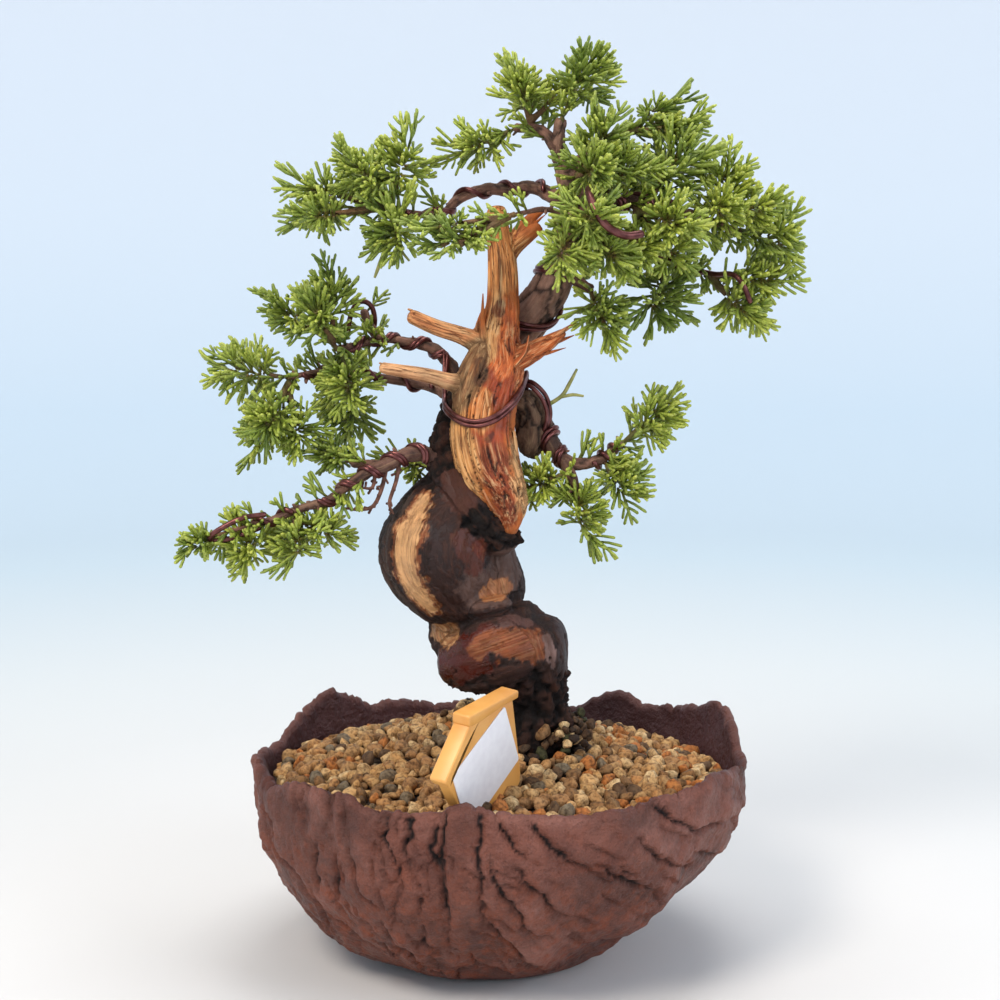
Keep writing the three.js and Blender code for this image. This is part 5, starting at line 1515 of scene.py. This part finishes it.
# Scale leaves: waxy and slightly see-through. Old ones at the foot are brown-green, the growing tips are a
# yellow green that catches the light, and the scales give the cord its fine knobbly edge.
foliage, tree, shader, place = new_finish("juniper scale foliage")
tone = add(tree, "Attribute", attribute_name="tone")
shade = add(tree, "Attribute", attribute_name="shade")
young = add(tree, "ValToRGB", {"Fac": tone.outputs["Fac"]},
            stops=[(0.0, "#8C7440"), (1.0, "#C4CE6E"), (0.14, "#8A9448"), (0.45, "#9DB04E"),
                   (0.82, "#AFBE5A")])
vary = add(tree, "ValToRGB", {"Fac": shade.outputs["Fac"]},
           stops=[(0.0, "#A9B48C"), (1.0, "#FFF6C4"), (0.5, "#EAE8BE")])
scale_leaf = add(tree, "TexVoronoi", {"Vector": place, "Scale": per_mm(1.3)})
scale_edge = add(tree, "MapRange", {"Value": scale_leaf, "From Min": 0.15,
                                    "From Max": 0.65, "To Min": 1.12, "To Max": 0.72})
scaly = coated(tree, young, (0.9, vary, "MULTIPLY"), (0.8, scale_edge, "MULTIPLY"))
knobbly = add(tree, "Bump", {"Height": scale_leaf, "Strength": 0.8, "Distance": 0.4 * MM})
knobbly.invert = True
plug(tree, shader, {"Base Color": scaly, "Roughness": 0.5, "Normal": knobbly, "Subsurface Weight": 0.15,
                    "Subsurface Radius": (0.001, 0.0014, 0.0003)})

random = np.random.default_rng(12)
branch_rows = np.vstack([spline(stations, 1.0) for stations in list(BRANCHES.values()) + [LIVE_VEIN]])
stems, joins, cores = [], [], []
total = 0
for node in sorted(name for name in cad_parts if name.startswith("spray_")):
    pairs, free, root, stem = read_spray(node)
    stems.append(stem)
    near = branch_rows[np.linalg.norm(branch_rows[:, :3] - np.array(root), axis=1).argmin()]
    joins.append([[*near[:3], 1.1], [*((near[:3] + np.array(root)) / 2), 0.95], [*root, 0.9]])
    centre = sum((foot for foot, _ in pairs), Vector()) / len(pairs)
    cores.append([[*near[:3], 1], [*root, 1], [*centre, 1]])
    copies = spray_copies(pairs, free, random)
    total += len(copies)
    piece(node.replace("spray_", "foliage_"), stamped(node, branchlets, copies), foliage, [node])
print(total, "branchlets in the sprays")

# %% [markdown]
# Young shoots also break from the thin wood itself, so the branches hardly show inside a pad of foliage.
# For each branch a share says where the leafy part starts, and the thicker part before it is left bare.

# %% Foliage: shoots along the branches
LEAFY_FROM = {
    "low_left": 0.42, "low_left_fork": 0.45, "mid_left": 0.55, "mid_left_fork": 0.2, "mid_low": 0.5,
    "up_left": 0.68, "crown_right": 0.25, "crown_low": 0.42, "crown_front": 0.4,
    "crown_back": 0.3, "front_shoot": 0.62, "top_left": 0.35, "top_right": 0.3, "low_mid": 0.4,
    "right_low": 0.72, "right_hang": 0.3,
}
SHOOTS_PER_MM = 0.55
copies = []
for name, share in LEAFY_FROM.items():
    path = spline(BRANCHES[name], 1.0)
    ahead, across, beside = axes_along(path)
    for index in range(int(share * len(path)), len(path)):
        if random.uniform() > SHOOTS_PER_MM:
            continue
        turn = random.uniform(0, 2 * math.pi)
        out = across[index] * math.cos(turn) + beside[index] * math.sin(turn)
        way = Vector(out * 0.9 + ahead[index] * 0.6 + np.array([0, 0, 0.25])).normalized()
        way = way * random.uniform(6, 13)
        way = way * room_for(Vector(path[index, :3]), way)
        shade = min(1, max(0, 0.45 + 0.25 * random.normal()))
        foot = Vector(path[index, :3] + 0.7 * path[index, 3] * out)
        copies.append((*grow_copy(foot, way, Vector(out), random), shade))
for row in cores:
    path = spline(row, 1.5)
    for place in path[1:]:
        way = Vector(random.normal(size=3) + 0.8 * (path[-1] - path[0])[:3] / len(path)).normalized()
        way = way * random.uniform(6, 12)
        grown = grow_copy(Vector(place[:3]), way, way.normalized(), random)
        copies.append((*grown, random.uniform(0.2, 0.7)))
piece("foliage_along_branches", stamped("along", branchlets, copies), foliage)
print(len(copies), "branchlets along the branches")

# %% [markdown]
# Under the foliage run the woody stems that carry it, and each is joined to its branch by a short limb. A
# few shoots in the shade have died and hang brown, and a few thin ones reach out with hardly a leaf.

# %% Twigs and dead shoots
stem_mesh = modified(to_mesh("stems", *stems), "SUBSURF", levels=1, render_levels=1)
skin = bmesh.new()
skin.from_mesh(stem_mesh)
stem_mesh = to_mesh("twigs", skin, *[limb(stations, 8, 1.0) for stations in joins])
points = points_of(stem_mesh)
mix = soft_step(rumple(points, 6, 2, 29), -0.3, 0.3)[:, None]
colour = np.array(linear("#7A5A3C")) * (1 - mix) + np.array(linear("#6E6A38")) * mix
keep_wood(stem_mesh, points, colour, 0.75, 0.3, 0)
piece("twigs", stem_mesh, bark)

DRY_SHOOTS = [
    [[-41.5, -11, 183, 0.9], [-43.3, -12, 175, 0.8], [-46.5, -13, 169, 0.75], [-52, -14, 168, 0.6],
     [-56, -14, 168.5, 0.35]],
    [[-37, -9, 184, 0.9], [-38, -10, 178, 0.8], [-40.5, -10.5, 170, 0.7], [-39, -10.5, 166, 0.35]],
    [[-45.5, -12, 181, 0.8], [-46.5, -13, 176, 0.7], [-50.5, -14, 176, 0.4]],
]
SPARSE_SHOOTS = [
    [[-38.5, -4, 277, 0.8], [-40.5, -4, 266, 0.7], [-44, -5, 256, 0.75], [-45.5, -5, 252, 0.5]],
    [[-39, -4, 270, 0.6], [-36, -4.5, 262, 0.6], [-33, -5, 258, 0.45]],
    [[-40.5, -4, 266, 0.6], [-45, -5, 263.5, 0.55], [-49.5, -6, 262, 0.4]],
    [[17, 8, 204, 0.8], [23, 7, 208, 0.75], [26, 6, 213, 0.7], [28.5, 5, 218, 0.45]],
    [[22.5, 7, 207.5, 0.6], [27, 6, 208.5, 0.65], [31, 6, 208, 0.45]],
]
hanging = []
for stations in DRY_SHOOTS:
    path = spline(stations, 1.6)
    hanging.append(limb(stations, 6, 1.5))
    for index in range(1, len(path) - 1):
        way = swayed(Vector(path[index + 1, :3] - path[index - 1, :3]), 0.8, random).normalized()
        tip = Vector(path[index, :3]) + way * random.uniform(1.6, 3.2)
        hanging.append(shoot(path[index, :3], tip, (0, 0, 0), 0.5, 0, 1, 4))
# Dead shoots go brown and dull, and their scales curl.
dried = mottled("dried juniper shoots", 2, 4.0, [(0.35, "#4A2A20"), (0.65, "#7E5340")], 0.75,
                relief=(0.8, 0.5))
piece("dry_shoots", to_mesh("dry_shoots", *hanging), dried)

# Starved shoots are pale olive, and smoother than the leafy ones.
olive = mottled("thin olive juniper shoots", 3, 4.0, [(0.35, "#7E8040"), (0.65, "#A9A25E")], 0.6,
                relief=(0.5, 0.4))
piece("sparse_shoots", to_mesh("sparse_shoots", *[limb(stations, 6, 1.5) for stations in SPARSE_SHOOTS]),
      olive)

# %% [markdown]
# The plant label is a moulded plastic tag shaped like a small house, with a thick roof along its top edge,
# a wall down its left side and a stake that goes into the soil. A blank paper sticker covers its face.

# %% Label
LABEL_ORIGIN = Vector((-8, -72, 69))
LABEL_FACING = Vector((0.86, -0.5, -0.11)).normalized()
LABEL_THICKNESS = 4.4
LABEL_FACE = [
    (-22.5, 19.5), (-8, 2.5), (7.3, -3.2), (15.7, 0.6), (28.9, 6.2), (28.4, 10.5), (17, 40), (-11, 38.4),
]
LABEL_ROOF = [(-13.4, 36.4), (-14, 40.4), (18.4, 42.9), (18.8, 39.9), (10, 39.3), (-6, 36.8)]
LABEL_WALL = [(-25.6, 20.2), (-12.4, 37.6), (-6, 37.6), (-14.6, 28.8), (-20.8, 20.8), (-21.5, 17.2)]
HOOD_FRONT = 1.4
HOOD_DEPTH = 6.8
LABEL_STAKE = [(-5, 6), (-3, -26), (3, -26), (6, 6)]
LABEL_STAKE_THICKNESS = 2.4
LABEL_STAKE_FRONT = -0.8
STICKER = [(-19.8, 20.9), (-9, 3.4), (2.4, 2.4), (25.5, 16), (11.4, 38.4)]
STICKER_THICKNESS = 0.35


def slab(outline, front, thickness, corner, edge):
    """A flat plate in the label's plane, with rounded corners and softened edges."""
    bm = bmesh.new()
    flat = bm.faces.new([bm.verts.new((u, v, front - thickness)) for u, v in outline])
    bmesh.ops.bevel(bm, geom=list(bm.verts), affect="VERTICES", offset=corner, segments=5, profile=0.5,
                    material=-1)
    grown = bmesh.ops.extrude_face_region(bm, geom=list(bm.faces))["geom"]
    verts = [part for part in grown if isinstance(part, bmesh.types.BMVert)]
    bmesh.ops.translate(bm, vec=(0, 0, thickness), verts=verts)
    bmesh.ops.recalc_face_normals(bm, faces=bm.faces)
    sharp = [e for e in bm.edges if abs(e.verts[0].co.z - e.verts[1].co.z) < 1e-4]
    bmesh.ops.bevel(bm, geom=sharp, affect="EDGES", offset=edge, segments=3, profile=0.5, material=-1)
    upright = (Vector((0, 0, 1)) - LABEL_FACING * LABEL_FACING.z).normalized()
    columns = [upright.cross(LABEL_FACING), upright, LABEL_FACING]
    turn = Matrix([[*row] for row in zip(*columns)]).to_4x4()
    bmesh.ops.transform(bm, matrix=Matrix.Translation(LABEL_ORIGIN) @ turn, verts=bm.verts)
    return bm


# Injection-moulded: one warm yellow all through, satin, with the fine spark-eroded tooth of its mould.
plastic, tree, shader, place = new_finish("moulded polypropylene, warm yellow")
haze = add(tree, "TexNoise", {"Vector": place, "Scale": per_mm(14), "Detail": 3.0})
dye = add(tree, "ValToRGB", {"Fac": haze}, stops=[(0.3, "#D99445"), (0.7, "#E6A95C")])
spark = add(tree, "TexNoise", {"Vector": place, "Scale": per_mm(0.5), "Detail": 2.0})
eroded = add(tree, "Bump", {"Height": spark, "Strength": 0.12, "Distance": 0.1 * MM})
plug(tree, shader, {"Base Color": dye, "Roughness": 0.38, "Normal": eroded})
tag = to_mesh("tag", slab(LABEL_FACE, 0, LABEL_THICKNESS, 1.2, 0.4),
              slab(LABEL_ROOF, HOOD_FRONT, HOOD_DEPTH, 0.9, 0.6),
              slab(LABEL_WALL, HOOD_FRONT - 0.2, HOOD_DEPTH - 0.4, 1.0, 0.6),
              slab(LABEL_STAKE, LABEL_STAKE_FRONT, LABEL_STAKE_THICKNESS, 0.6, 0.4))
piece("label_moulding", tag, plastic, ["label_tag"])

# Coated paper is nearly white and has a faint sheen.
paper = mottled("coated label paper, white", 3, 4.0, [(0.3, "#EEE9EA"), (0.7, "#F7F3F3")], 0.42)
piece("label_paper", to_mesh("paper", slab(STICKER, STICKER_THICKNESS + 0.05, STICKER_THICKNESS, 1.2, 0.08)),
      paper, ["label_sticker"])

# %% [markdown]
# The two drain nets lie under the soil, over the holes, and show from below. Their CAD solids are right as
# they are, so they only get a better material.

# %% Drain nets
# Extruded net, scuffed by grit to a greyer green.
netting = mottled("extruded polyethylene mesh, dark green", 2, 3.0, [(0.3, "#1B211E"), (0.7, "#35403A")],
                  0.5)
for name in ("drain_net_left", "drain_net_right"):
    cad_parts[name].material_slots[0].material = netting
print("drain nets finished")
